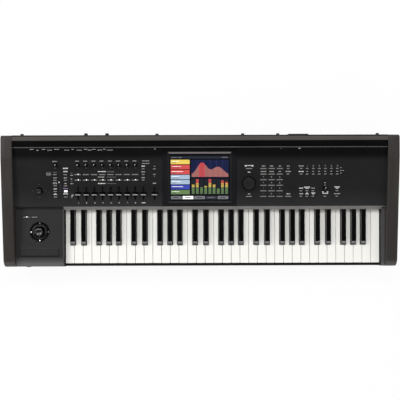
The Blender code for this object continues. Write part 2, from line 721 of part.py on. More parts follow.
def stick_opening():
    """Plan of the square joystick opening with cut corners."""
    half, corner = STICK_OPENING / 2, STICK_OPENING_CORNER
    outline = []
    for sx, sy in ((-1, -1), (1, -1), (1, 1), (-1, 1)):
        pair = [(sx * half, sy * (half - corner)), (sx * (half - corner), sy * half)]
        outline += pair if sx * sy > 0 else pair[::-1]
    return [(STICK_X + a, STICK_Y + b) for a, b in outline]


def hanging_lugs(centre, outer, wall, axle_radius, top, pivot, width):
    """Two lugs beside a gimbal, with a bore through both for its axles."""
    lugs = []
    reach = outer / 2 + PIN_GAP
    bottom = pivot - width / 2
    for side in (-1, 1):
        near, far = sorted((side * reach, side * (reach + wall)))
        lugs.append(box((centre[0] + near, centre[1] - width / 2, bottom),
                        (centre[0] + far, centre[1] + width / 2, top)))
    bore = [(centre[1] + a, pivot + b) for a, b in circle(axle_radius + PIN_GAP, SIDES_PIN)]
    span = reach + 2 * wall
    return lugs, prism(bore, centre[0] - span, centre[0] + span, "X")


def make_controller_block():
    """Moulded block with joystick ring and opening, ribbon recess and two switch holes."""
    bottom = FRONT_WALL_TOP + GAP
    section = block_outline(BLOCK_REAR, bottom)
    block = add_object("controller_block", prism(section, INNER_LEFT + GAP, BLOCK_RIGHT, "X"))
    hollow = inset(section, BLOCK_WALL)
    hollow[0] = (hollow[0][0], bottom - WALL)
    hollow[-1] = (hollow[-1][0], bottom - WALL)
    cut(block, prism(hollow, INNER_LEFT + GAP + BLOCK_WALL, BLOCK_RIGHT - BLOCK_WALL, "X"))
    centre = (STICK_X, STICK_Y)
    ring = add_object("ring", prism(circle(STICK_RING_OUTER, SIDES_ROUND, centre),
                                    BLOCK_TOP - STICK_RING_DEPTH, BLOCK_TOP + WALL))
    cut(ring, prism(circle(STICK_RING_INNER, SIDES_ROUND, centre), 0, FULL_HEIGHT))
    combine(block, ring, "DIFFERENCE")
    lugs, bore = hanging_lugs(centre, GIMBAL_OUTER, LUG_WALL, AXLE_RADIUS, BLOCK_TOP - BLOCK_WALL / 2,
                              BLOCK_TOP - STICK_PIVOT_DEPTH, 3 * AXLE_RADIUS + 2 * LUG_WALL)
    fuse(block, merged(lugs))
    cut(block, bore)
    cut(block, prism(stick_opening(), BLOCK_TOP - 2 * BLOCK_WALL, BLOCK_TOP + WALL))
    half_x, half_y = RIBBON_SIZE[0] / 2, RIBBON_SIZE[1] / 2
    cutters = [box((RIBBON_X - half_x, RIBBON_Y - half_y, BLOCK_TOP - RIBBON_DEPTH),
                   (RIBBON_X + half_x, RIBBON_Y + half_y, BLOCK_TOP + WALL))]
    half_x, half_y = BUTTON_WIDE / 2 + BUTTON_GAP, BUTTON_DEPTH / 2 + BUTTON_GAP
    for x in SWITCH_COLUMNS:
        cutters.append(box((x - half_x, SWITCH_ROW_Y - half_y, BLOCK_TOP - 2 * BLOCK_WALL),
                           (x + half_x, SWITCH_ROW_Y + half_y, BLOCK_TOP + WALL)))
    cut(block, merged(cutters))
    finish(block, (0.04, 0.04, 0.042), 0.5)


def make_joystick_switches():
    """The two switches behind the joystick on one carrier under the block's top."""
    x0 = sum(SWITCH_COLUMNS) / 2
    half_x = (SWITCH_COLUMNS[1] - SWITCH_COLUMNS[0]) / 2 + BUTTON_WIDE / 2 + CARRIER_MARGIN
    half_y = BUTTON_DEPTH / 2 + CARRIER_MARGIN
    top = -BLOCK_WALL - GAP
    strip = add_object("joystick_buttons", box((-half_x, -half_y, top - CARRIER_THICKNESS),
                                               (half_x, half_y, top)))
    caps = [moved(button_cap(BUTTON_WIDE, top - CARRIER_THICKNESS / 2, BUTTON_RISE),
                  Matrix.Translation((x - x0, 0, 0))) for x in SWITCH_COLUMNS]
    fuse(strip, merged(caps))
    strip.location = (x0, SWITCH_ROW_Y, BLOCK_TOP)
    finish(strip, (0.03, 0.03, 0.032), 0.5)


def gimbal_frame(name, outer, inner, height, axle_radius, axle_length):
    """Square frame with axles along X and bores along Y for the lever's axles."""
    half = outer / 2
    frame = add_object(name, box((-half, -half, -height / 2), (half, half, height / 2)))
    hole = inner / 2
    cut(frame, box((-hole, -hole, -height), (hole, hole, height)))
    axle = circle(axle_radius, SIDES_PIN)
    into = (half - hole) / 2
    fuse(frame, merged([prism(axle, half - into, half + axle_length, "X"),
                        prism(axle, -half - axle_length, into - half, "X")]))
    cut(frame, prism(circle(axle_radius + PIN_GAP, SIDES_PIN), -outer, outer, "Y"))
    return frame


def stick_lever(name, inner, outer, axle_radius, shaft_radius, reach, cap_radius, cap_height):
    """Lever on its own axle, with a shaft and a dished cap."""
    hub = inner / 2 - 4 * PIN_GAP
    dish = 0.6 * cap_radius
    profile = [(0, 0), (shaft_radius, 0), (shaft_radius, reach), (cap_radius * 0.8, reach),
               (cap_radius, reach + cap_height * 0.3), (cap_radius, reach + cap_height * 0.7),
               (cap_radius * 0.86, reach + cap_height), (dish, reach + cap_height),
               (0, reach + cap_height * 0.75)]
    lever = add_object(name, turned(profile, SIDES_ROUND if cap_radius > 0.01 else 16))
    lower = 0.62 * hub
    fuse(lever, box((-lower, -hub, -lower), (lower, hub, lower)))
    length = outer / 2 - PIN_GAP
    fuse(lever, prism(circle(axle_radius, SIDES_PIN), -length, length, "Y"))
    return lever


def make_joysticks():
    """Main joystick in the block and vector joystick in the panel, each on two crossed axles."""
    frame = gimbal_frame("joystick_gimbal", GIMBAL_OUTER, GIMBAL_INNER, GIMBAL_HEIGHT, AXLE_RADIUS, LUG_WALL)
    frame.location = (STICK_X, STICK_Y, BLOCK_TOP - STICK_PIVOT_DEPTH)
    finish(frame, (0.3, 0.3, 0.31), 0.4, 0.8)
    lever = stick_lever("joystick_lever", GIMBAL_INNER, GIMBAL_OUTER, AXLE_RADIUS, STICK_SHAFT_RADIUS,
                        STICK_PIVOT_DEPTH + STICK_CAP_LIFT, STICK_CAP_RADIUS, STICK_CAP_HEIGHT)
    lever.location = frame.location
    finish(lever, (0.02, 0.02, 0.02), 0.3, round_angle=40)
    place = panel_frame(VECTOR_X, VECTOR_Y, -VECTOR_PIVOT_DEPTH)
    frame = gimbal_frame("vector_gimbal", VECTOR_GIMBAL_OUTER, VECTOR_GIMBAL_INNER, VECTOR_GIMBAL_HEIGHT,
                         VECTOR_AXLE_RADIUS, VECTOR_LUG_WALL)
    frame.matrix_world = place
    finish(frame, (0.3, 0.3, 0.31), 0.4, 0.8)
    lever = stick_lever("vector_stick", VECTOR_GIMBAL_INNER, VECTOR_GIMBAL_OUTER, VECTOR_AXLE_RADIUS,
                        VECTOR_SHAFT_RADIUS, VECTOR_PIVOT_DEPTH + VECTOR_CAP_LIFT, VECTOR_CAP_RADIUS,
                        VECTOR_CAP_HEIGHT)
    lever.matrix_world = place
    finish(lever, (0.02, 0.02, 0.02), 0.3, round_angle=40)


def knob_shape(radius, top_radius, height, lift, shaft_radius, depth, sides):
    """Turned knob with its shaft below and a raised pointer line."""
    edge = 0.08 * radius
    profile = [(0, -depth), (shaft_radius, -depth), (shaft_radius, lift), (radius, lift),
               (radius, lift + 0.2 * height), (top_radius, lift + 0.3 * height),
               (top_radius - edge / 2, height - edge), (top_radius - 2 * edge, height), (0, height)]
    knob = add_object("knob", turned(profile, sides))
    half = 0.09 * radius
    fuse(knob, box((-half, 0.2 * top_radius, height - 2 * edge),
                   (half, top_radius - 2 * edge, height + edge / 2)))
    return knob


def make_knobs():
    """Ten panel knobs, the value dial and the two rear level knobs."""
    depth = BOARD_DEPTH - GAP
    pattern = knob_shape(KNOB_RADIUS, KNOB_TOP_RADIUS, KNOB_HEIGHT, KNOB_LIFT, SHAFT_RADIUS, depth,
                         SIDES_KNOB)
    spots = [("volume_knob", VOLUME_X, KNOB_ROW_Y)]
    spots += [(f"control_knob_{i + 1}", MIXER_COLUMN + i * COLUMN_PITCH, KNOB_ROW_Y)
              for i in range(MIXER_CHANNELS)]
    spots.append(("tempo_knob", TEMPO_X, TEMPO_Y))
    for name, x, y in spots:
        knob = bpy.data.objects.new(name, pattern.data.copy())
        bpy.context.scene.collection.objects.link(knob)
        knob.matrix_world = panel_frame(x, y)
        finish(knob, (0.02, 0.02, 0.02), 0.4, round_angle=40)
    bpy.data.objects.remove(pattern, do_unlink=True)
    low = -DIAL_RECESS + KNOB_LIFT
    profile = [(0, -depth), (SHAFT_RADIUS, -depth), (SHAFT_RADIUS, low), (DIAL_RADIUS, low),
               (DIAL_RADIUS, 0.75 * DIAL_HEIGHT), (0.94 * DIAL_RADIUS, 0.93 * DIAL_HEIGHT),
               (0.84 * DIAL_RADIUS, DIAL_HEIGHT), (0, DIAL_HEIGHT)]
    dial = add_object("value_dial", turned(profile, SIDES_ROUND))
    dimple = turned([(0, -0.0012), (0.0025, -0.0008), (0.0036, 0), (0.0036, WALL), (0, WALL)], SIDES_PIN)
    cut(dial, moved(dimple, Matrix.Translation((0, 0.6 * DIAL_RADIUS, DIAL_HEIGHT))))
    dial.matrix_world = panel_frame(DIAL_X, DIAL_Y)
    finish(dial, (0.03, 0.03, 0.03), 0.45, round_angle=40)
    for i, x in enumerate(LEVEL_KNOBS):
        inside = JACK_PANEL_THICKNESS + GAP
        profile = [(0, -inside), (LEVEL_SHAFT_RADIUS, -inside), (LEVEL_SHAFT_RADIUS, KNOB_LIFT),
                   (LEVEL_KNOB_RADIUS, KNOB_LIFT), (0.9 * LEVEL_KNOB_RADIUS, LEVEL_KNOB_REACH * 0.9),
                   (0.75 * LEVEL_KNOB_RADIUS, LEVEL_KNOB_REACH), (0, LEVEL_KNOB_REACH)]
        knob = add_object(f"input_level_knob_{i + 1}", turned(profile, SIDES_KNOB))
        knob.location = (x, JACK_PANEL_FACE, LEVEL_KNOB_Z)
        knob.rotation_euler = (-math.pi / 2, 0, 0)
        finish(knob, (0.02, 0.02, 0.02), 0.4, round_angle=40)


def make_sliders():
    """Eight channel sliders, the master slider and the value slider."""
    half, ridge, base = CAP_LENGTH / 2, CAP_RIDGE / 2, CAP_WIDTH / 2
    top = CAP_WIDTH / 2 - 0.0008
    stem_x, stem_y = STEM_WIDTH / 2, STEM_WIDTH

    def ring(half_x, half_y, z):
        return [(-half_x, -half_y, z), (half_x, -half_y, z), (half_x, half_y, z), (-half_x, half_y, z)]

    depth = BOARD_DEPTH - GAP
    rings = [ring(stem_x, stem_y, -depth), ring(stem_x, stem_y, CAP_LIFT), ring(base, half, CAP_LIFT),
             ring(base, half, CAP_LIFT + 0.2 * CAP_HEIGHT), ring(top, ridge + 0.0003, 0.94 * CAP_HEIGHT),
             ring(top - 0.0003, ridge - 0.0003, CAP_HEIGHT)]
    spots = [(f"channel_slider_{i + 1}", MIXER_COLUMN + i * COLUMN_PITCH) for i in range(MIXER_CHANNELS)]
    spots += [("master_slider", MIXER_COLUMN + MIXER_CHANNELS * COLUMN_PITCH),
              ("value_slider", VALUE_COLUMN)]
    for name, x in spots:
        slider = add_object(name, loft(rings))
        slider.matrix_world = panel_frame(x, SLIDER_Y)
        finish(slider, (0.02, 0.02, 0.02), 0.4)
    return [x for name, x in spots]


def make_top_panel(groups):
    """Sloping panel with its fascia, display seat and every hole for a control."""
    key_left, key_right = BLOCK_RIGHT + GAP, FIELD_RIGHT + KEY_SIDE_GAP - GAP
    left, right = INNER_LEFT + GAP, INNER_RIGHT - GAP
    side = panel_section(0, PANEL_THICKNESS, SIDE_FOOT)
    middle = panel_section(0, PANEL_THICKNESS, FASCIA_FOOT)
    panel = add_object("top_panel", prism(middle, key_left, key_right, "X"))
    fuse(panel, prism(side, left, key_left, "X"))
    fuse(panel, prism(side, key_right, right, "X"))
    pocket = BEZEL_THICKNESS + GAP
    seat_foot = Vector((PANEL_FRONT, PANEL_FRONT_Z)).lerp(Vector(FASCIA_FOOT), SEAT_SHARE)
    seat = panel_section(PANEL_THICKNESS / 2, pocket + PANEL_THICKNESS, seat_foot, -SEAT_SHORT)
    fuse(panel, prism(seat, BEZEL_LEFT - SEAT_OVERLAP, BEZEL_RIGHT + SEAT_OVERLAP, "X"))
    above = panel_section(-WALL, pocket, FASCIA_FOOT, WALL)
    cut(panel, prism(above, BEZEL_LEFT, BEZEL_RIGHT, "X"))
    half_x = SCREEN_WIDTH / 2 + SCREEN_MARGIN + GAP
    half_y = (SCREEN_DEPTH / 2 + SCREEN_MARGIN) / math.cos(PANEL_TILT) + GAP
    frame = panel_frame(SCREEN_CENTRE_X, SCREEN_CENTRE_Y)
    cut(panel, moved(box((-half_x, -half_y, -0.02), (half_x, half_y, 0.01)), frame))
    lugs, bore = hanging_lugs((0, 0), VECTOR_GIMBAL_OUTER, VECTOR_LUG_WALL, VECTOR_AXLE_RADIUS,
                              -PANEL_THICKNESS / 2, -VECTOR_PIVOT_DEPTH, 6 * VECTOR_AXLE_RADIUS)
    vector = panel_frame(VECTOR_X, VECTOR_Y)
    fuse(panel, merged([moved(lug, vector) for lug in lugs]))
    cut(panel, moved(bore, vector))
    low, high = -2 * PANEL_THICKNESS, WALL
    holes = [moved(prism(circle(VECTOR_OPENING, 16), low, high), vector)]
    holes.append(moved(prism(circle(SHAFT_RADIUS + SHAFT_GAP, SIDES_KNOB), low, high),
                       panel_frame(DIAL_X, DIAL_Y)))
    knobs = [(VOLUME_X, KNOB_ROW_Y), (TEMPO_X, TEMPO_Y)]
    knobs += [(MIXER_COLUMN + i * COLUMN_PITCH, KNOB_ROW_Y) for i in range(MIXER_CHANNELS)]
    for x, y in knobs:
        holes.append(moved(prism(circle(SHAFT_RADIUS + SHAFT_GAP, SIDES_SMALL), low, high),
                           panel_frame(x, y)))
    slot = SLIDER_TRAVEL / 2 + STEM_WIDTH + SHAFT_GAP
    for x in [MIXER_COLUMN + i * COLUMN_PITCH for i in range(MIXER_CHANNELS + 1)] + [VALUE_COLUMN]:
        holes.append(moved(box((-SLOT_WIDTH / 2, -slot, low), (SLOT_WIDTH / 2, slot, high)),
                           panel_frame(x, SLIDER_Y)))
    for buttons in groups.values():
        for x, y, width in buttons:
            half_x, half_y = width / 2 + BUTTON_GAP, BUTTON_DEPTH / 2 + BUTTON_GAP
            holes.append(moved(box((-half_x, -half_y, low), (half_x, half_y, high)), panel_frame(x, y)))
    cut(panel, merged(holes))
    recess = prism(circle(DIAL_RADIUS + 4 * SHAFT_GAP, SIDES_ROUND), -DIAL_RECESS, WALL)
    cut(panel, moved(recess, panel_frame(DIAL_X, DIAL_Y)))
    finish(panel, (0.035, 0.035, 0.037), 0.5)


def make_display():
    """Bezel plate with its flared window, and the touch screen module in the panel's seat."""
    section = panel_section(0, BEZEL_THICKNESS, FASCIA_FOOT)
    bezel = add_object("display_bezel", prism(section, BEZEL_LEFT + GAP, BEZEL_RIGHT - GAP, "X"))
    half_x, half_y = SCREEN_WIDTH / 2, SCREEN_DEPTH / 2 / math.cos(PANEL_TILT)

    def ring(grow, z):
        return [(-half_x - grow, -half_y - grow, z), (half_x + grow, -half_y - grow, z),
                (half_x + grow, half_y + grow, z), (-half_x - grow, half_y + grow, z)]

    frame = panel_frame(SCREEN_CENTRE_X, SCREEN_CENTRE_Y)
    slope = BEZEL_FLARE / BEZEL_THICKNESS
    window = loft([ring(-slope * 0.001, -BEZEL_THICKNESS - 0.001), ring(BEZEL_FLARE + slope * 0.001, 0.001)])
    cut(bezel, moved(window, frame))
    finish(bezel, (0.02, 0.02, 0.021), 0.3)
    screen = add_object("touch_screen", loft([ring(SCREEN_MARGIN, -BEZEL_THICKNESS - GAP - SCREEN_BODY),
                                              ring(SCREEN_MARGIN, -BEZEL_THICKNESS - GAP)]))
    screen.matrix_world = frame
    finish(screen, (0.05, 0.06, 0.1), 0.1)


def make_rear():
    """Rear rail, and the jack panel below it with its sockets and power switch."""
    front = PANEL_REAR + GAP
    round_ = RAIL_ROUND
    rear = arc((BODY_REAR - round_, FULL_HEIGHT - round_), (round_, round_), 90, 0, 3)
    rail_wall = WALL
    lower = panel_z(PANEL_REAR) - PANEL_THICKNESS
    outer = [(front, lower), (front, panel_z(PANEL_REAR) + 0.0005), (RAIL_CREST_Y, FULL_HEIGHT)] + rear
    outer += [(BODY_REAR, RAIL_BOTTOM)]
    inner = [(BODY_REAR - rail_wall, RAIL_BOTTOM), (BODY_REAR - rail_wall, FULL_HEIGHT - 2 * rail_wall),
             (RAIL_CREST_Y, FULL_HEIGHT - 1.5 * rail_wall), (front + rail_wall, lower)]
    rail = add_object("rear_rail", prism(outer + inner, INNER_LEFT + GAP, INNER_RIGHT - GAP, "X"))
    finish(rail, (0.06, 0.058, 0.056), 0.4)
    face, back = JACK_PANEL_FACE, JACK_PANEL_BACK
    panel = add_object("jack_panel", box((INNER_LEFT + GAP, back, FOOT_HEIGHT),
                                         (INNER_RIGHT - GAP, face, RAIL_BOTTOM - GAP)))
    rounds = [(x, SOCKET_Z, JACK_BORE) for x in PEDAL_JACKS + INPUT_JACKS + OUTPUT_JACKS]
    rounds += [(x, SOCKET_Z, DIN_BORE) for x in DIN_SOCKETS]
    into = JACK_PANEL_THICKNESS / 2
    rings = [prism(circle(radius + SOCKET_RING_WIDTH, SIDES_KNOB, (x, z)), face - into, face + SOCKET_RING, "Y")
             for x, z, radius in rounds]
    rings += [prism(circle(LUG_RADIUS, SIDES_SMALL, (x, LUG_Z)), face - into, BODY_REAR + LUG_REACH, "Y")
              for x in LUG_POSITIONS]
    fuse(panel, merged(rings))
    bores = [prism(circle(radius, SIDES_PIN, (x, z)), back - WALL, face + WALL, "Y") for x, z, radius in rounds]
    bores += [prism(circle(LEVEL_SHAFT_RADIUS + PIN_GAP, SIDES_SMALL, (x, LEVEL_KNOB_Z)),
                    back - WALL, face + WALL, "Y") for x in LEVEL_KNOBS]
    for x, (width, height) in ((USB_X, USB_SIZE), (INLET_X, INLET_SIZE)):
        bores.append(box((x - width / 2, back - WALL, SOCKET_Z - height / 2),
                         (x + width / 2, face + WALL, SOCKET_Z + height / 2)))
    width, height = SWITCH_SIZE
    bores.append(box((SWITCH_X - width / 2 - GAP, back - WALL, SOCKET_Z - height / 2 - SWITCH_GAP),
                     (SWITCH_X + width / 2 + GAP, face + WALL, SOCKET_Z + height / 2 + SWITCH_GAP)))
    cut(panel, merged(bores))
    finish(panel, (0.025, 0.025, 0.026), 0.45)
    middle = (face + back) / 2
    half, deep = height / 2, SWITCH_DEPTH / 2
    section = [(-deep, -half), (deep * 0.8, -half), (deep * 0.4, 0), (deep * 0.8, half), (-deep, half)]
    rocker = add_object("power_switch", prism(section, -width / 2, width / 2, "X"))
    rocker.location = (SWITCH_X, middle, SOCKET_Z)
    rocker.rotation_euler = (-SWITCH_TILT, 0, 0)
    finish(rocker, (0.02, 0.02, 0.02), 0.35)


def make_boards():
    """Panel board under the controls, and the main board with its power section."""
    stretch = 1 / math.cos(PANEL_TILT)
    y0 = (BOARD_FRONT + BOARD_REAR) / 2
    frame = panel_frame(0, y0)
    half_y = (BOARD_REAR - BOARD_FRONT) / 2 * stretch
    low, high = -BOARD_DEPTH - BOARD_THICKNESS, -BOARD_DEPTH
    board = add_object("panel_board", box((BOARD_LEFT, -half_y, low), (BOARD_RIGHT, half_y, high)))
    spacers = [prism(circle(SPACER_RADIUS, SIDES_SMALL, (x, y)), high - BOARD_THICKNESS / 2,
                     -PANEL_THICKNESS - GAP) for x in SPACER_SPOTS for y in (-half_y + 0.004, half_y - 0.004)]
    fuse(board, merged(spacers))
    clear = SCREEN_MARGIN + 4 * GAP
    left = SCREEN_CENTRE_X - SCREEN_WIDTH / 2 - clear
    right = SCREEN_CENTRE_X + SCREEN_WIDTH / 2 + clear
    front = (SCREEN_CENTRE_Y - SCREEN_DEPTH / 2 - clear - y0) * stretch
    cut(board, box((left, front, low - WALL), (right, half_y + WALL, high + WALL)))
    board.matrix_world = frame
    finish(board, (0.02, 0.12, 0.05), 0.5)
    width, depth = MAIN_BOARD_SIZE
    main = add_object("main_board", box((-width / 2, MAIN_BOARD_Y - depth / 2, MAIN_BOARD_Z),
                                        (width / 2, MAIN_BOARD_Y + depth / 2, MAIN_BOARD_Z + BOARD_THICKNESS)))
    sx, sy, sz = SUPPLY_SIZE
    right = width / 2 - 2 * WALL
    base = MAIN_BOARD_Z + BOARD_THICKNESS / 2
    blocks = [box((right - sx, MAIN_BOARD_Y - sy / 2, base), (right, MAIN_BOARD_Y + sy / 2, base + sz))]
    blocks += [box((x - 0.015, MAIN_BOARD_Y - 0.015, base), (x + 0.015, MAIN_BOARD_Y + 0.015, base + 0.004))
               for x in (-0.18, -0.08, 0.02)]
    fuse(main, merged(blocks))
    finish(main, (0.02, 0.12, 0.05), 0.5)


def build():
    """Model the whole instrument."""
    clear_scene()
    make_bottom_case()
    make_chassis()
    make_keys()
    make_cheeks()
    make_controller_block()
    make_joystick_switches()
    make_joysticks()
    groups, plates = button_groups()
    make_top_panel(groups)
    for name, buttons in groups.items():
        make_button_strip(name, buttons, carrier_rectangles(plates[name]))
    make_display()
    make_knobs()
    make_sliders()
    make_rear()
    make_boards()
    bpy.context.view_layer.update()


build()
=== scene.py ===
"""Looks of a music workstation with 61 keys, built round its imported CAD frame.

Lengths are metres in the row frame: X to the treble end, Y to the rear, Z up.
"""

import logging
import math
from dataclasses import dataclass
from enum import Enum

import bpy
import numpy as np
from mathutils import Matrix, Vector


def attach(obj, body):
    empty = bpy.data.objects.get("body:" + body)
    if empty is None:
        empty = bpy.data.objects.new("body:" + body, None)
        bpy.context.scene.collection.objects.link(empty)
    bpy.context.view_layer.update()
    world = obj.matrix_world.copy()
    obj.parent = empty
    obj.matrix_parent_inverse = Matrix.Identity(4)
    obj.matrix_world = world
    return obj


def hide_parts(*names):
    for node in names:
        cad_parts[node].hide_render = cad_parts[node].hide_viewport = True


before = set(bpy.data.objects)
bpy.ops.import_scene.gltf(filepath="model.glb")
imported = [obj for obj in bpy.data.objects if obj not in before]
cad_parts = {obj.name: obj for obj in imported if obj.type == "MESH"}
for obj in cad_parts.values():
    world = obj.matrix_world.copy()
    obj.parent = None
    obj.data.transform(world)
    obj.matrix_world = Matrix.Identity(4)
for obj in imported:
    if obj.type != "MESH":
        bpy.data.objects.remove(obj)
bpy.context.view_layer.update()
LOG = logging.getLogger("workstation")
Array = np.ndarray
MILLI = 0.001
CLOUD_SCALE = 11.0
CLOUD_SHARE = 0.6
SHEEN_BY_CLOUD = 0.18
SHEEN_BY_GRAIN = 0.12
COAT_ROUGHNESS = 0.12
DIMMED = (0.82, 0.82, 0.82, 1.0)
WHITE = (1.0, 1.0, 1.0, 1.0)
SHARP_DEGREES = 34


class Slot(Enum):
    """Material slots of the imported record."""

    CASE = "case_black"
    PANEL = "panel_black"
    RAIL = "rail_grey"
    REAR = "rear_black"
    CHEEK = "cheek_dark"
    BLOCK = "block_black"
    BEZEL = "bezel_black"
    SCREEN = "screen_glass"
    KEY_WHITE = "key_white"
    KEY_BLACK = "key_black"
    SLIDER = "slider_black"
    KNOB = "knob_black"
    DIAL = "dial_black"
    STICK = "stick_black"
    BUTTON = "button_black"


class Axis(Enum):
    """Axis that a turned or carried shape follows."""

    X = 0
    Y = 1
    Z = 2


class Ends(Enum):
    """How a skin of rings is closed."""

    CAPPED = "a flat face on the first and last ring"
    LOOPED = "the last ring joins the first"


class Wire:
    """An output socket of a node tree; arithmetic on it adds Math nodes."""

    def __init__(self, tree: bpy.types.NodeTree, socket: bpy.types.NodeSocket) -> None:
        """Keep the tree and the socket."""
        self.tree = tree
        self.socket = socket

    def _math(self, operation: str, first: "Wire | float", second: "Wire | float") -> "Wire":
        """One Math node on two values."""
        return add_node(self.tree, "ShaderNodeMath", {"operation": operation}, {0: first, 1: second})

    def __add__(self, other: "Wire | float") -> "Wire":
        """Sum."""
        return self._math("ADD", self, other)

    __radd__ = __add__

    def __sub__(self, other: "Wire | float") -> "Wire":
        """Difference."""
        return self._math("SUBTRACT", self, other)

    def __rsub__(self, other: float) -> "Wire":
        """Difference from a number."""
        return self._math("SUBTRACT", other, self)

    def __mul__(self, other: "Wire | float") -> "Wire":
        """Product."""
        return self._math("MULTIPLY", self, other)

    __rmul__ = __mul__

    def above(self, limit: float) -> "Wire":
        """One where the value is greater than a limit, else zero."""
        return self._math("GREATER_THAN", self, limit)

    def either(self, other: "Wire") -> "Wire":
        """The greater of two values."""
        return self._math("MAXIMUM", self, other)


def add_node(tree: bpy.types.NodeTree, kind: str, settings: dict[str, object] | None = None,
             inputs: dict[int | str, object] | None = None, output: int | str = 0) -> Wire:
    """Add any node to a tree.

    Args:
        tree: the node tree.
        kind: Blender's name of the node's type.
        settings: the node's own properties, set first.
        inputs: a value or a Wire for each named or numbered input.
        output: which output to return.

    Returns:
        The chosen output as a Wire.
    """
    node = tree.nodes.new(kind)
    for name, value in (settings or {}).items():
        setattr(node, name, value)
    for key, value in (inputs or {}).items():
        if isinstance(value, Wire):
            tree.links.new(value.socket, node.inputs[key])
        else:
            node.inputs[key].default_value = value
    return Wire(tree, node.outputs[output])


def linear(colour: tuple[float, float, float]) -> tuple[float, float, float, float]:
    """Scene-linear RGBA of an sRGB colour given from 0 to 255: each channel over 255 to the power 2.2."""
    red, green, blue = ((channel / 255) ** 2.2 for channel in colour)
    return red, green, blue, 1.0


@dataclass(frozen=True)
class Zone:
    """A second colour beyond a line across one axis: a lighter or darker band of the coating, and in places a
    painted highlight or painted shade.

    The share of the second colour climbs from 0 at start to 1 at end, and holds only past from_x.
    """

    axis: Axis
    start: float
    end: float
    colour: tuple[float, float, float]
    from_x: float = -1.0


@dataclass(frozen=True)
class Finish:
    """A surface finish: cloudy colour, fine grain in the relief, and a sheen that varies with both."""

    name: str
    colour: tuple[float, float, float]
    roughness: float = 0.45
    metallic: float = 0.0
    specular: float = 0.5
    coat: float = 0.0
    cloud: float = 0.10
    grain: float = 1400.0
    relief: float = 0.00002
    stretch: tuple[float, float, float] = (1.0, 1.0, 1.0)
    glow: float = 0.0
    tinted: bool = False
    zones: tuple[Zone, ...] = ()

    def material(self) -> bpy.types.Material:
        """The finish as a node material, made once.

        Returns:
            A material whose colour mixes a darker and a lighter tone by two noises on Object coordinates.
        """
        known = bpy.data.materials.get(self.name)
        if known:
            return known
        made = bpy.data.materials.new(self.name)
        made.use_nodes = True
        tree = made.node_tree
        shader = tree.nodes["Principled BSDF"]
        place = add_node(tree, "ShaderNodeTexCoord", output="Object")
        along = add_node(tree, "ShaderNodeMapping", inputs={"Vector": place, "Scale": self.stretch})
        grain = add_node(tree, "ShaderNodeTexNoise",
                         inputs={"Vector": along, "Scale": self.grain, "Detail": 3.0})
        cloud = add_node(tree, "ShaderNodeTexNoise",
                         inputs={"Vector": along, "Scale": CLOUD_SCALE, "Detail": 4.0})
        colour = self._colour(tree, place, CLOUD_SHARE * cloud + (1 - CLOUD_SHARE) * grain)
        sheen = self.roughness + (cloud - 0.5) * SHEEN_BY_CLOUD + (grain - 0.5) * SHEEN_BY_GRAIN
        bump = add_node(tree, "ShaderNodeBump",
                        inputs={"Height": grain, "Strength": 1.0, "Distance": self.relief})
        links = {"Base Color": colour, "Roughness": sheen, "Normal": bump}
        if self.glow:
            links["Emission Color"] = colour
        for name, wire in links.items():
            tree.links.new(wire.socket, shader.inputs[name])
        for name, value in {"Metallic": self.metallic, "Specular IOR Level": self.specular,
                            "Coat Weight": self.coat, "Coat Roughness": COAT_ROUGHNESS,
                            "Emission Strength": self.glow}.items():
            shader.inputs[name].default_value = value
        return made

    def _colour(self, tree: bpy.types.NodeTree, place: Wire, tone: Wire) -> Wire:
        """Colour of the surface: the tone picks between two shades, and each zone paints over the last.

        Args:
            tree: the material's tree.
            place: Object coordinates.
            tone: the mixed noises, about 0.5 in the middle.

        Returns:
            The colour.
        """
        if self.tinted:
            tint = add_node(tree, "ShaderNodeAttribute", {"attribute_name": "tint"}, output="Color")
            shade = add_node(tree, "ShaderNodeMix", {"data_type": "RGBA"}, {0: tone, 6: DIMMED, 7: WHITE},
                             output=2)
            return add_node(tree, "ShaderNodeMix", {"data_type": "RGBA", "blend_type": "MULTIPLY"},
                            {0: 1.0, 6: tint, 7: shade}, output=2)
        shade = self._shades(tree, self.colour, tone)
        parts = [add_node(tree, "ShaderNodeSeparateXYZ", inputs={0: place}, output=axis.value)
                 for axis in Axis]
        for zone in self.zones:
            share = add_node(tree, "ShaderNodeMapRange", {"clamp": True},
                             {"Value": parts[zone.axis.value], "From Min": zone.start, "From Max": zone.end})
            share = share * parts[Axis.X.value].above(zone.from_x)
            shade = add_node(tree, "ShaderNodeMix", {"data_type": "RGBA"},
                             {0: share, 6: shade, 7: self._shades(tree, zone.colour, tone)}, output=2)
        return shade

    def _shades(self, tree: bpy.types.NodeTree, colour: tuple[float, float, float], tone: Wire) -> Wire:
        """A colour varied by the tone between one shade darker and one lighter."""
        dark, light = (tuple(min(1.0, channel * (1 + swing)) for channel in linear(colour)[:3]) + (1.0,)
                       for swing in (-2 * self.cloud, 2 * self.cloud))
        return add_node(tree, "ShaderNodeMix", {"data_type": "RGBA"}, {0: tone, 6: dark, 7: light}, output=2)


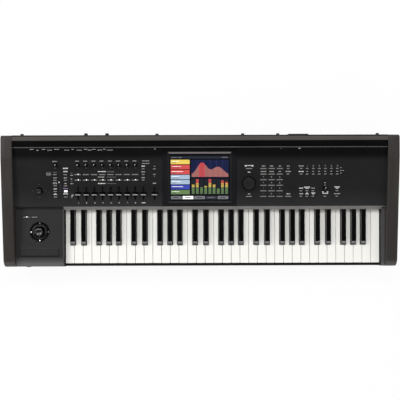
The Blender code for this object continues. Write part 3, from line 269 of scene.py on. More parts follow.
CASE_GRAIN = Finish("case_grain", (26, 26, 26), 0.55, relief=0.00005)
CHASSIS_ZINC = Finish("chassis_zinc", (92, 92, 94), 0.42, metallic=0.9, stretch=(0.1, 4.0, 4.0))
# Panel paint with painted light: darker towards the rear as painted shade, and lighter towards the front as
# painted light; the last zone is the light grey of the fascia.
PANEL_PAINT_AND_LIGHT = Finish("panel_paint_and_painted_light", (34, 34, 35), 0.42, specular=0.2, zones=(
    Zone(Axis.Y, 0.104, 0.121, (13, 13, 14)),
    Zone(Axis.Y, 0.030, -0.012, (44, 44, 45)),
    Zone(Axis.Y, -0.0153, -0.0154, (122, 119, 117), -0.3642)))
# Bezel finish: darker towards the rear as painted shade, like the panel; the second zone is the fascia's light
# grey.
BEZEL_GLOSS_AND_SHADE = Finish("bezel_gloss_and_painted_shade", (31, 31, 33), 0.30, specular=0.15, relief=0.000006, zones=(
    Zone(Axis.Y, 0.110, 0.130, (18, 18, 20)),
    Zone(Axis.Y, -0.0153, -0.0154, (122, 119, 117)),))
# Rail paint: black on the front slope, lighter over the top as a painted highlight where the top catches light,
# then darker again over the rear round.
RAIL_PAINT_AND_HIGHLIGHT = Finish("rail_paint_and_painted_highlight", (10, 10, 11), 0.38, specular=0.2, zones=(
    Zone(Axis.Y, 0.1570, 0.1590, (77, 73, 70)), Zone(Axis.Y, 0.1680, 0.1700, (17, 16, 16))))
REAR_PAINT = Finish("rear_paint", (30, 30, 31), 0.48)
CHEEK_STAIN = Finish("cheek_stain", (53, 50, 48), 0.42, specular=0.35, cloud=0.16, grain=260.0,
                     stretch=(9.0, 0.7, 6.0), relief=0.00006)
# Controller block: its nose painted lighter as a painted highlight from the front light, a lighter strip along
# its right edge as a painted edge highlight, and its right side wall painted black as painted shade.
BLOCK_GRAIN_AND_LIGHT = Finish("block_grain_and_painted_light", (43, 43, 44), 0.50, specular=0.3, relief=0.00003, zones=(
    Zone(Axis.Y, -0.150, -0.168, (84, 83, 84)),
    Zone(Axis.X, -0.3680, -0.3675, (66, 66, 67)),
    Zone(Axis.X, -0.3651, -0.3648, (7, 7, 7))))
GLASS_BACK = Finish("glass_back", (14, 14, 18), 0.12, coat=0.4, relief=0.000002)
# Solder mask, kept nearly black: partly painted shade for what is seen down the panel's slots.
BOARD_MASK_AND_SHADE = Finish("board_mask_and_painted_shade", (8, 17, 11), 0.45, cloud=0.2, grain=500.0)
GIMBAL_DARK = Finish("gimbal_dark", (30, 30, 31), 0.40, metallic=0.5)
KEY_IVORY = Finish("key_ivory", (240, 239, 234), 0.24, coat=0.25, cloud=0.012, relief=0.000004)
KEY_EBONY = Finish("key_ebony", (5, 5, 4), 0.22, specular=0.65, relief=0.000015, stretch=(1.0, 0.25, 1.0))
CAP_BLACK = Finish("cap_black", (5, 5, 5), 0.40, specular=0.15, relief=0.00002)
CAP_PALE = Finish("cap_pale", (176, 175, 172), 0.45)
KNOB_BLACK = Finish("knob_satin", (7, 7, 7), 0.42, specular=0.2)
DIAL_BLACK = Finish("dial_satin", (36, 36, 37), 0.46, specular=0.2)
RUBBER = Finish("soft_rubber", (24, 24, 25), 0.50, relief=0.00004)
STICK_SATIN = Finish("stick_satin", (16, 16, 17), 0.34, specular=1.0)
# Gloss black of the rocker, socket insides and bezel seams; also painted shade in the joystick's groove, round
# the ribbon bed, in the dial's recess and in the screw slots.
BLACK_GLOSS_AND_SHADE = Finish("black_gloss_and_painted_shade", (5, 5, 6), 0.30, specular=0.3, relief=0.000004)
BUTTON_GREY = Finish("button_grey", (30, 30, 31), 0.50, specular=0.3)
# The buttons' grey bar is a painted highlight where their edges catch light.
BUTTON_HIGHLIGHT = Finish("painted_button_highlight", (120, 119, 117), 0.40)
# Light grey of painted edge highlights on the treble block, the panel's rear bead and the ribbon bed's rear
# edge; past x 0.484 a black strip is painted shade on the treble block's left wall.
EDGE_HIGHLIGHT_AND_SHADE = Finish("block_edge", (70, 70, 71), 0.50, relief=0.00003, zones=(
    Zone(Axis.X, 0.4851, 0.4848, (7, 7, 7), 0.484),))
BUTTON_CORE = Finish("button_core", (14, 14, 15), 0.55)
LAMP_LIT = Finish("lamp_lit", (232, 222, 248), 0.30, glow=1.1)
# White lamps; on two of the joystick ring's printed dots its glow is painted light.
LAMP_WHITE_AND_GLOW = Finish("lamp_white_and_painted_glow", (235, 235, 238), 0.30, glow=1.0)
INK_BRIGHT = Finish("ink_bright", (196, 195, 192), 0.60)
INK_PALE = Finish("ink_pale", (148, 147, 145), 0.60)
INK_DIM = Finish("ink_dim", (92, 91, 90), 0.60)
INK_LILAC = Finish("ink_lilac", (112, 98, 126), 0.60, glow=0.15)
# Painted reflection on the bezel's rear slope.
BEZEL_REFLECTION = Finish("painted_bezel_reflection", (104, 98, 100), 0.40, specular=0.2)
PAGE = Finish("screen_page", (0, 0, 0), 0.22, specular=0.2, glow=0.12, relief=0.0, tinted=True)
NICKEL = Finish("socket_nickel", (176, 174, 168), 0.28, metallic=1.0, stretch=(1.0, 1.0, 6.0))
BRASS = Finish("contact_brass", (196, 158, 92), 0.30, metallic=1.0)


def sweep(start: float, end: float, steps: int) -> Array:
    """Angles in radians spread evenly between two angles in degrees, both ends among them."""
    return np.radians(np.linspace(start, end, steps + 1))


def arc(centre: tuple[float, float], radii: tuple[float, float], start: float, end: float,
        steps: int = 8) -> Array:
    """Points of an elliptical arc: centre plus (first radius by cosine, second radius by sine)."""
    angle = sweep(start, end, steps)
    return np.stack([centre[0] + radii[0] * np.cos(angle), centre[1] + radii[1] * np.sin(angle)], 1)


def rounded(half_x: float, half_y: float, radius: float, steps: int = 4) -> Array:
    """Anticlockwise rounded rectangle: in each corner a quarter circle about the corner's own centre."""
    angle = np.concatenate([sweep(90 * k, 90 * k + 90, steps) for k in range(4)])
    side_x = np.repeat([1, -1, -1, 1], steps + 1)
    side_y = np.repeat([1, 1, -1, -1], steps + 1)
    return np.stack([side_x * (half_x - radius) + radius * np.cos(angle),
                     side_y * (half_y - radius) + radius * np.sin(angle)], 1)


def drawn_in(outline: Array, distance: Array) -> Array:
    """An anticlockwise outline drawn in by each of several distances.

    A point moves along the sum of its two edges' inward normals, by the distance over one plus
    the normals' dot product, so that each edge moves by the distance.

    Args:
        outline: points, shape (points, 2).
        distance: shape (levels,).

    Returns:
        Rings, shape (levels, points, 2).
    """
    def inward(edge: Array) -> Array:
        """Unit normal to the left of each edge."""
        turned_left = np.stack([-edge[:, 1], edge[:, 0]], 1)
        return turned_left / np.linalg.norm(turned_left, axis=1, keepdims=True)

    first = inward(outline - np.roll(outline, 1, 0))
    second = inward(np.roll(outline, -1, 0) - outline)
    shift = (first + second) / (1 + (first * second).sum(1))[:, None]
    return outline + np.asarray(distance)[:, None, None] * shift


def edge_levels(low: float, high: float, radius: float, both: bool = False, steps: int = 4) -> Array:
    """Insets and heights of a side that rounds over at its top, and at its foot too if both.

    Over the round the inset is the radius by one minus the cosine, and the height the radius by the
    sine. A last level a little further in keeps the flat top's shading flat.

    Args:
        low: height of the foot.
        high: height of the top.
        radius: of the round.
        both: whether the foot rounds over too.
        steps: of each round.

    Returns:
        Rows of (inset, height), shape (levels, 2).
    """
    angle = sweep(0, 90, steps)
    inset = radius * (1 - np.cos(angle))
    top = np.stack([inset, high - radius + radius * np.sin(angle)], 1)
    top = np.concatenate([top, [[radius * 1.35, high]]])
    if not both:
        return np.concatenate([[[0, low]], top])
    foot = top[::-1] * (1, -1) + (0, low + high)
    return np.concatenate([foot, top])


def stacked(outline: Array, levels: Array, axis: Axis = Axis.Z) -> Array:
    """Rings of an outline drawn in by each level's inset, set at its height along an axis.

    Args:
        outline: points in the plane of the other two axes, in their cyclic order.
        levels: rows of (inset, height).
        axis: the axis of the heights.

    Returns:
        A grid of points, shape (levels, points, 3).
    """
    flat = drawn_in(outline, levels[:, 0])
    height = np.broadcast_to(levels[:, 1, None], flat.shape[:2])
    return np.roll(np.stack([height, flat[..., 0], flat[..., 1]], -1), axis.value, -1)


def beam(section: Array, start: float, end: float, axis: Axis = Axis.X) -> Array:
    """A section carried unchanged along an axis from start to end."""
    return stacked(np.asarray(section, float), np.array([[0.0, start], [0.0, end]]), axis)


def block(low: tuple[float, float, float], high: tuple[float, float, float]) -> Array:
    """Rectangular bar between two corners, as two rings of four points."""
    return beam([(low[0], low[1]), (high[0], low[1]), (high[0], high[1]), (low[0], high[1])],
                low[2], high[2], Axis.Z)


def turned(profile: list[tuple[float, ...]], sides: int = 40, axis: Axis = Axis.Z, flutes: int = 0) -> Array:
    """Surface of revolution about an axis.

    The radius at an angle is the profile's radius plus its ripple by the cosine of flutes times the angle.

    Args:
        profile: rows of (radius, height) or (radius, height, ripple).
        sides: points round each ring.
        axis: the axis of revolution.
        flutes: waves round the shape.

    Returns:
        A grid of points, shape (profile rows, sides, 3).
    """
    rows = np.array([tuple(row) + (0.0,) * (3 - len(row)) for row in profile])
    angle = np.arange(sides) * (2 * math.pi / sides)
    radius = rows[:, 0, None] + rows[:, 2, None] * np.cos(flutes * angle)
    height = np.broadcast_to(rows[:, 1, None], radius.shape)
    grid = np.stack([height, radius * np.cos(angle), radius * np.sin(angle)], -1)
    return np.roll(grid, axis.value, -1)


class Casting:
    """Grids of points gathered into one mesh, with what the finished piece needs to be placed."""

    def __init__(self, name: str, finishes: list[Finish], body: str = "root", slot: Slot | None = None,
                 stands_for: tuple[str, ...] = ()) -> None:
        """Start an empty casting.

        Args:
            name: the piece's name.
            finishes: one finish for each mark that the faces use.
            body: the CAD body that it rides on.
            slot: the record's material slot; not used.
            stands_for: CAD nodes that it replaces.
        """
        self.name = name
        self.finishes = finishes
        self.body = body
        self.slot = slot
        self.stands_for = stands_for
        self.points: list[Array] = []
        self.faces: list[list[int]] = []
        self.marks: list[Array] = []
        self.tints: list[Array] = []
        self.total = 0

    @staticmethod
    def _volume(grid: Array) -> float:
        """Six times the volume of the skinned rings, negative where they face inwards.

        It is a sum of triple products, taken about the middle of the points.
        """
        around = grid - grid.reshape(-1, 3).mean(0)
        low, high = around[:-1], around[1:]
        a, b = low, np.roll(low, -1, 1)
        c, d = np.roll(high, -1, 1), high
        walls = (a * np.cross(b, c)).sum() + (a * np.cross(c, d)).sum()
        fans = 0.0
        for ring, sign in ((around[0], -1), (around[-1], 1)):
            middle = ring.mean(0)
            fans += sign * (middle * np.cross(ring, np.roll(ring, -1, 0))).sum()
        return walls + fans

    def add(self, grid: Array, at: object = ((0.0, 0.0, 0.0),), matrix: Array | None = None, mark: int = 0,
            ends: Ends = Ends.CAPPED, tint: tuple[float, float, float] = (0, 0, 0)) -> "Casting":
        """Add a skin over rings of points, once at each of several places.

        Faces join neighbouring points of neighbouring rings. The rings are turned over first where the
        skin's volume comes out negative, so that faces point outwards.

        Args:
            grid: points, shape (rings, points, 3).
            at: offsets of the copies, in the shape's own frame.
            matrix: four by four transform applied last.
            mark: which finish the faces take.
            ends: how the skin is closed.
            tint: sRGB colour of the faces, for a tinted finish.

        Returns:
            The casting itself.
        """
        if ends is Ends.LOOPED:
            grid = np.concatenate([grid, grid[:1]])
        if self._volume(grid) < 0:
            grid = grid[:, ::-1]
        if ends is Ends.LOOPED:
            grid = grid[:-1]
        rings, count, _ = grid.shape
        spots = np.asarray(at, float).reshape(-1, 1, 1, 3)
        points = (grid[None] + spots).reshape(-1, 3)
        if matrix is not None:
            points = points @ matrix[:3, :3].T + matrix[:3, 3]
        spans = rings if ends is Ends.LOOPED else rings - 1
        ring, step = (index.ravel() for index in np.indices((spans, count)))
        after, beyond = (step + 1) % count, (ring + 1) % rings
        quads = np.stack([ring * count + step, ring * count + after, beyond * count + after,
                          beyond * count + step], 1)
        start = self.total + np.arange(len(spots)) * rings * count
        faces = (quads[None] + start[:, None, None]).reshape(-1, 4).tolist()
        if ends is Ends.CAPPED:
            faces += (start[:, None] + np.arange(count)[::-1]).tolist()
            faces += (start[:, None] + (rings - 1) * count + np.arange(count)).tolist()
        self.points.append(points)
        self.faces += faces
        self.marks.append(np.full(len(faces), mark, np.int32))
        self.tints.append(np.tile(linear(tint), (len(faces), 1)))
        self.total += len(points)
        return self

    def lay(self, grid: Array, plan: object, mark: int = 0, ends: Ends = Ends.CAPPED,
            tint: tuple[float, float, float] = (0, 0, 0)) -> "Casting":
        """Add a skin on the slope of the panel over each of several plan points."""
        return self.add(grid, PLANE.spots(plan), PLANE.matrix, mark, ends, tint)

    def cast(self) -> bpy.types.Object:
        """Make the mesh and its object, and place it on its body.

        Returns:
            The finished piece.
        """
        mesh = bpy.data.meshes.new(self.name)
        mesh.from_pydata(np.concatenate(self.points).tolist(), [], self.faces)
        mesh.polygons.foreach_set("material_index", np.concatenate(self.marks))
        for finish in self.finishes:
            mesh.materials.append(finish.material())
        if any(finish.tinted for finish in self.finishes):
            tint = mesh.attributes.new("tint", "FLOAT_COLOR", "FACE")
            tint.data.foreach_set("color", np.concatenate(self.tints).astype(np.float32).ravel())
        mesh.shade_smooth()
        mesh.set_sharp_from_angle(angle=math.radians(SHARP_DEGREES))
        piece = bpy.data.objects.new(self.name, mesh)
        bpy.context.scene.collection.objects.link(piece)
        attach(piece, self.body)
        if self.stands_for:
            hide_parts(*self.stands_for)
        LOG.info("%s rides on %s with %d faces", self.name, self.body, len(self.faces))
        return piece


@dataclass(frozen=True)
class PanelPlane:
    """The sloping plane of the control panel."""

    front: float = -0.015
    front_z: float = 0.106
    rear: float = 0.142
    rear_z: float = 0.1275

    @property
    def tilt(self) -> float:
        """Slope in radians."""
        return math.atan2(self.rear_z - self.front_z, self.rear - self.front)

    def height(self, y: float) -> float:
        """Height of the plane at a plan position."""
        return self.front_z + (y - self.front) * math.tan(self.tilt)

    @property
    def matrix(self) -> Array:
        """Transform from (x, distance up the slope, lift) to the row frame: a turn about X, then a lift."""
        cosine, sine = math.cos(self.tilt), math.sin(self.tilt)
        return np.array([[1, 0, 0, 0], [0, cosine, -sine, 0], [0, sine, cosine, self.height(0.0)],
                         [0, 0, 0, 1.0]])

    def spots(self, plan: object, lift: float = 0.0) -> Array:
        """Places on the plane over plan points, in the plane's own frame."""
        points = np.asarray(plan, float).reshape(-1, 2)
        return np.stack([points[:, 0], points[:, 1] / math.cos(self.tilt), np.full(len(points), lift)], 1)


PLANE = PanelPlane()


@dataclass(frozen=True)
class Layout:
    """Columns and rows of the controls, in plan."""

    row_base: float = 0.0107
    row_pitch: float = 0.0147
    pitch: float = 0.02165
    mixer: float = -0.3236
    channels: int = 8
    keypad: float = 0.1673
    bank: float = 0.2669
    bank_pitch: float = 0.01592
    left_column: float = -0.3840
    second_column: float = -0.3563
    value_x: float = -0.1208
    dial: tuple[float, float] = (0.1291, 0.0455)
    knob_y: float = 0.0944
    slider_y: float = 0.0191

    def row(self, index: int) -> float:
        """Plan position of a row of buttons, counted from the front."""
        return self.row_base + index * self.row_pitch

    def columns(self, first: float, pitch: float, count: int) -> list[float]:
        """Evenly spaced places from the first."""
        return [first + i * pitch for i in range(count)]

    @property
    def mixer_columns(self) -> list[float]:
        """Eight channels and the master."""
        return self.columns(self.mixer, self.pitch, self.channels + 1)

    @property
    def keypad_columns(self) -> list[float]:
        """Three columns of numbers and one of commands."""
        return self.columns(self.keypad, self.pitch, 4)

    @property
    def bank_columns(self) -> list[float]:
        """Seven narrow columns."""
        return self.columns(self.bank, self.bank_pitch, 7)


LAYOUT = Layout()


class Assembly:
    """A sub-assembly that builds its castings and then dresses them."""

    def build(self) -> list[Casting]:
        """Castings of the sub-assembly."""
        raise NotImplementedError

    def dress(self) -> None:
        """Turn each casting into a piece with its finishes on its body."""
        for casting in self.build():
            casting.cast()


@dataclass
class Keybed(Assembly):
    """Fifteen combs of keys, each with its arms and its hinge bar."""

    left: float = -0.363
    pitch: float = 0.0235
    gap: float = 0.001
    front: float = -0.1682
    rear: float = -0.005
    top: float = 0.079
    bottom: float = 0.062
    edge: float = 0.0008
    corner: float = 0.0014
    centres: tuple[float, ...] = (0.0202, 0.0495, 0.0902, 0.1173, 0.1433)
    black_half: float = 0.00685
    black_top_half: float = 0.0060
    black_front: float = -0.1193
    black_slope: float = 0.0088
    black_foot: float = 0.066
    black_shoulder: float = 0.0805
    black_chin: float = 0.0828
    black_top: float = 0.0905
    hinge_z: float = 0.068
    hinges: tuple[float, float, float] = (0.012, 0.020, 0.028)
    bar: float = 0.0022
    arm_half: float = 0.004
    arm_low: float = 0.060
    arm_crank: float = 0.0644
    crank_y: float = 0.005
    pin: float = 0.0012
    pin_reach: float = 0.001
    bar_gap: float = 0.0015
    octaves: int = 5

    def white_outline(self, place: int, notched: bool) -> tuple[Array, float]:
        """Plan of a white key: two front corner arcs, then the notches beside its black keys.

        Args:
            place: 0 to 7 in the octave.
            notched: whether black keys stand beside it.

        Returns:
            The outline, and the middle of its rear part.
        """
        left, right = place * self.pitch + self.gap / 2, (place + 1) * self.pitch - self.gap / 2
        rear_left, rear_right, reach = left, right, self.black_half + self.gap
        for centre in self.centres if notched else ():
            if left - reach < centre < left + self.pitch / 2:
                rear_left = centre + reach
            if right + reach > centre > left + self.pitch / 2:
                rear_right = centre - reach
        notch, corner = self.black_front - self.gap, self.corner
        parts = [arc((left + corner, self.front + corner), (corner, corner), 180, 270, 4),
                 arc((right - corner, self.front + corner), (corner, corner), 270, 360, 4)]
        if rear_right < right:
            parts.append([(right, notch), (rear_right, notch)])
        parts.append([(rear_right, self.rear), (rear_left, self.rear)])
        if rear_left > left:
            parts.append([(rear_left, notch), (left, notch)])
        return np.concatenate(parts), (rear_left + rear_right) / 2

    def black_shape(self) -> Array:
        """A black key about its own middle.

        Each ring is a rounded rectangle. Above the shoulder the front draws back evenly with the share,
        while the height climbs with the share to the power 0.85. The half width falls evenly with the
        height, and the top edge rounds over.
        """
        share = np.linspace(0, 1, 7)
        crest = self.black_top - self.edge
        height = self.black_chin + (crest - self.black_chin) * share ** 0.85
        front = self.black_front + 0.0004 + self.black_slope * share
        height, front = np.append(self.black_shoulder, height), np.append(self.black_front, front)
        fall = (height - self.black_shoulder) / (crest - self.black_shoulder)
        half = self.black_half - (self.black_half - self.black_top_half) * fall
        turn = sweep(0, 90, 4)[1:]
        inset = np.append(self.edge * (1 - np.cos(turn)), 1.6 * self.edge)
        rise = np.append(self.edge * np.sin(turn), self.edge)
        half = np.concatenate([half[:1], half, half[-1] - inset])
        front = np.concatenate([front[:1], front, front[-1] + inset])
        height = np.concatenate([[self.black_foot], height, height[-1] + rise])
        unit = rounded(1.0, 1.0, 0.16)
        middle, deep = (front + self.rear) / 2, (self.rear - front) / 2
        along = np.sign(unit[:, 1]) * (1 - (1 - np.abs(unit[:, 1])) * 0.09)
        return np.stack([half[:, None] * unit[:, 0], middle[:, None] + deep[:, None] * along,
                         np.broadcast_to(height[:, None], (len(height), len(unit)))], -1)

    def add_lever(self, comb: Casting, x: float, middles: list[float], hinge: float, length: float) -> None:
        """Add the arms under a comb's keys and its hinge bar with a pin at each end.

        Args:
            comb: the casting.
            x: start of the octave.
            middles: middles of the keys' rear parts, from there.
            hinge: plan position of the bar.
            length: length of the octave.
        """
        root, half, crest = self.rear - self.edge, 0.7 * self.bar, self.hinge_z + self.bar
        section = [(root, self.arm_low), (hinge + half, self.arm_low), (hinge + half, self.hinge_z),
                   (hinge - half, self.hinge_z), (hinge - half, self.arm_crank),
                   (self.crank_y, self.arm_crank), (0.0, crest), (root, crest)]
        arm = beam(section, -self.arm_half, self.arm_half)
        comb.add(arm, [(x + middle, 0, 0) for middle in middles])
        start, end = self.bar_gap, length - self.bar_gap
        rod = turned([(self.pin, start - self.pin_reach), (self.pin, start), (self.bar, start),
                      (self.bar, end), (self.pin, end), (self.pin, end + self.pin_reach)], 16, Axis.X)
        comb.add(rod, [(x, hinge, self.hinge_z)])

    def build(self) -> list[Casting]:
        """Two combs of white keys and one of black keys for each octave."""
        castings = []
        octave = 7 * self.pitch
        levels = edge_levels(self.bottom, self.top, self.edge)
        whites = {"c_e_g_b": ((0, 2, 4, 6), self.hinges[2]), "d_f_a": ((1, 3, 5), self.hinges[1])}
        for i in range(self.octaves):
            x = self.left + i * octave
            for stem, (places, hinge) in whites.items():
                node = f"keys_{stem}_{i + 1}"
                comb = Casting(f"comb_{stem}_{i + 1}", [KEY_IVORY], node, Slot.KEY_WHITE, (node,))
                last = i == self.octaves - 1 and 0 in places
                plans = [self.white_outline(p, True) for p in places]
                plans += [self.white_outline(7, False)] if last else []
                for plan, _ in plans:
                    comb.add(stacked(plan, levels), [(x, 0, 0)])
                self.add_lever(comb, x, [middle for _, middle in plans], hinge,
                               octave + (self.pitch if last else 0))
                castings.append(comb)
            node = f"black_keys_{i + 1}"
            comb = Casting(f"comb_black_{i + 1}", [KEY_EBONY], node, Slot.KEY_BLACK, (node,))
            comb.add(self.black_shape(), [(x + centre, 0, 0) for centre in self.centres])
            self.add_lever(comb, x, list(self.centres), self.hinges[0], octave)
            castings.append(comb)
        return castings


@dataclass
class Sliders(Assembly):
    """Ten slider caps with hollow flanks, a ridge and a pale front face, each on its stem."""

    half_x: float = 0.0079
    half_y: float = 0.0048
    ridge: float = 0.0016
    lift: float = 0.0006
    height: float = 0.010
    stem: float = 0.0012
    depth: float = 0.0059
    skirt: float = 0.0016
    crest_round: float = 0.0006
    taper: float = 0.0008
    inset: float = 0.0007

    def flank(self, share: Array) -> Array:
        """Half depth of the cap: the ridge plus the rest by one minus the share, squared."""
        return self.ridge + (self.half_y - self.ridge) * (1 - share) ** 2

    def build(self) -> list[Casting]:
        """One casting for each slider: an upright skirt, the hollow flanks and a rounded crest."""
        share = np.concatenate([[0, 0.0], np.linspace(0.08, 1, 9), [1.0]])
        height = self.lift + (self.height - self.lift) * np.linspace(0, 1, 12) ** 0.9
        height[1] = self.lift + self.skirt
        height[-2:] = self.height - self.crest_round, self.height
        crest = np.append(np.zeros(11), 1.0)
        half_y = self.flank(share) - self.inset * crest
        half_x = self.half_x - self.taper * share - self.crest_round * crest
        unit = rounded(1.0, 1.0, 0.12, 3)
        cap = np.stack([half_x[:, None] * unit[:, 0], half_y[:, None] * unit[:, 1],
                        np.broadcast_to(height[:, None], (12, len(unit)))], -1)
        wide, front, level = half_x[2:] - self.inset, -half_y[2:], height[2:]
        corners = ((-1, 0.0005), (1, 0.0005), (1, -0.0001), (-1, -0.0001))
        face = np.stack([np.stack([side * wide, front + shift, level], 1) for side, shift in corners], 1)
        stem = block((-self.stem, -2 * self.stem, -self.depth), (self.stem, 2 * self.stem, self.lift))
        names = [f"channel_slider_{i + 1}" for i in range(LAYOUT.channels)]
        names += ["master_slider", "value_slider"]
        castings = []
        for name, x in zip(names, LAYOUT.mixer_columns + [LAYOUT.value_x]):
            place = [(x, LAYOUT.slider_y)]
            slider = Casting(f"{name}_cap", [CAP_BLACK, CAP_PALE], name, Slot.SLIDER, (name,))
            castings.append(slider.lay(cap, place).lay(stem, place).lay(face, place, mark=1))
        return castings


@dataclass
class Knobs(Assembly):
    """Ten fluted panel knobs with a pointer line, the value dial, and the two level knobs at the rear."""

    radius: float = 0.00575
    crown: float = 0.0046
    height: float = 0.012
    shaft: float = 0.003
    depth: float = 0.0059
    dial_radius: float = 0.016
    dial_height: float = 0.012
    tempo: tuple[float, float] = (0.3298, 0.0325)
    volume_x: float = -0.3815
    level_radius: float = 0.005
    level_places: tuple[float, float] = (-0.306, -0.2495)
    level_z: float = 0.088
    level_reach: float = 0.009
    face_y: float = 0.172
    pointer_turn: float = math.radians(-28)
    pointer_half: float = 0.00055

    def knob(self) -> Array:
        """Skirt, fluted grip and domed crown of a panel knob."""
        r, c, h = self.radius, self.crown, self.height
        return turned([(self.shaft, -self.depth), (self.shaft, 0.0004), (r * 0.96, 0.0004), (r, 0.0008),
                       (r, 0.0022), (r * 0.97, 0.0027), (c * 1.04, 0.0034, 0.00012), (c, 0.0045, 0.00024),
                       (c * 0.97, h * 0.75, 0.00024), (c * 0.95, h * 0.88, 0.00016), (c * 0.88, h * 0.95),
                       (c * 0.78, h * 0.985), (c * 0.62, h), (c * 0.3, h + 0.00001)], 72, flutes=18)

    def pointer(self) -> Array:
        """Pointer line over the crown and down the grip, turned about the knob's axis."""
        bar = block((-self.pointer_half, -0.0006, self.height - 0.0012),
                    (self.pointer_half, self.crown * 0.86, self.height + 0.00022))
        cosine, sine = math.cos(self.pointer_turn), math.sin(self.pointer_turn)
        return bar @ np.array([[cosine, sine, 0], [-sine, cosine, 0], [0, 0, 1]])

    def dial(self) -> Array:
        """Value dial with a ribbed side and a shallow dished top."""
        r, h, low = self.dial_radius, self.dial_height, -0.0008
        return turned([(self.shaft, -self.depth), (self.shaft, low), (r * 0.97, low), (r, low + 0.0006),
                       (r, 0.002), (r * 0.985, 0.0026, 0.00014), (r * 0.975, h * 0.74, 0.00014),
                       (r * 0.965, h * 0.84), (r * 0.94, h * 0.93), (r * 0.89, h * 0.985), (r * 0.84, h),
                       (r * 0.79, h * 0.995), (r * 0.70, h * 0.965), (r * 0.45, h * 0.93),
                       (r * 0.1, h * 0.915)], 120, flutes=40)

    def build(self) -> list[Casting]:
        """Castings of all the knobs."""
        spots = [("volume_knob", self.volume_x, LAYOUT.knob_y)]
        spots += [(f"control_knob_{i + 1}", x, LAYOUT.knob_y)
                  for i, x in enumerate(LAYOUT.mixer_columns[:-1])]
        spots.append(("tempo_knob", *self.tempo))
        castings = []
        for name, x, y in spots:
            knob = Casting(f"{name}_cap", [KNOB_BLACK, INK_BRIGHT], name, Slot.KNOB, (name,))
            castings.append(knob.lay(self.knob(), [(x, y)]).lay(self.pointer(), [(x, y)], mark=1))
        dial = Casting("value_dial_cap", [DIAL_BLACK], "value_dial", Slot.DIAL, ("value_dial",))
        dial.lay(self.dial(), LAYOUT.dial)
        h = self.dial_height
        dimple = turned([(0.0038, h * 0.93), (0.0038, h * 0.985), (0.0034, h), (0.0030, h * 0.985),
                         (0.0024, h * 0.95), (0.0008, h * 0.94)], 28)
        dial.add(dimple, PLANE.spots(LAYOUT.dial) + (0, 0.6 * self.dial_radius, 0), PLANE.matrix)
        castings.append(dial)
        r, reach = self.level_radius, self.level_reach
        grip = turned([(0.003, -0.0033), (0.003, 0.0004), (r * 0.96, 0.0004), (r, 0.0009, 0.00015),
                       (r * 0.92, reach * 0.9, 0.00015), (r * 0.8, reach * 0.98), (r * 0.6, reach),
                       (r * 0.2, reach)], 54, Axis.Y, 18)
        line = block((-0.0005, 0.0078, 0.0004), (0.0005, reach, 0.0038))
        for i, x in enumerate(self.level_places):
            name = f"input_level_knob_{i + 1}"
            knob = Casting(f"{name}_cap", [KNOB_BLACK, INK_BRIGHT], name, Slot.KNOB, (name,))
            place = [(x, self.face_y, self.level_z)]
            castings.append(knob.add(grip, place).add(line, place, mark=1))
        return castings


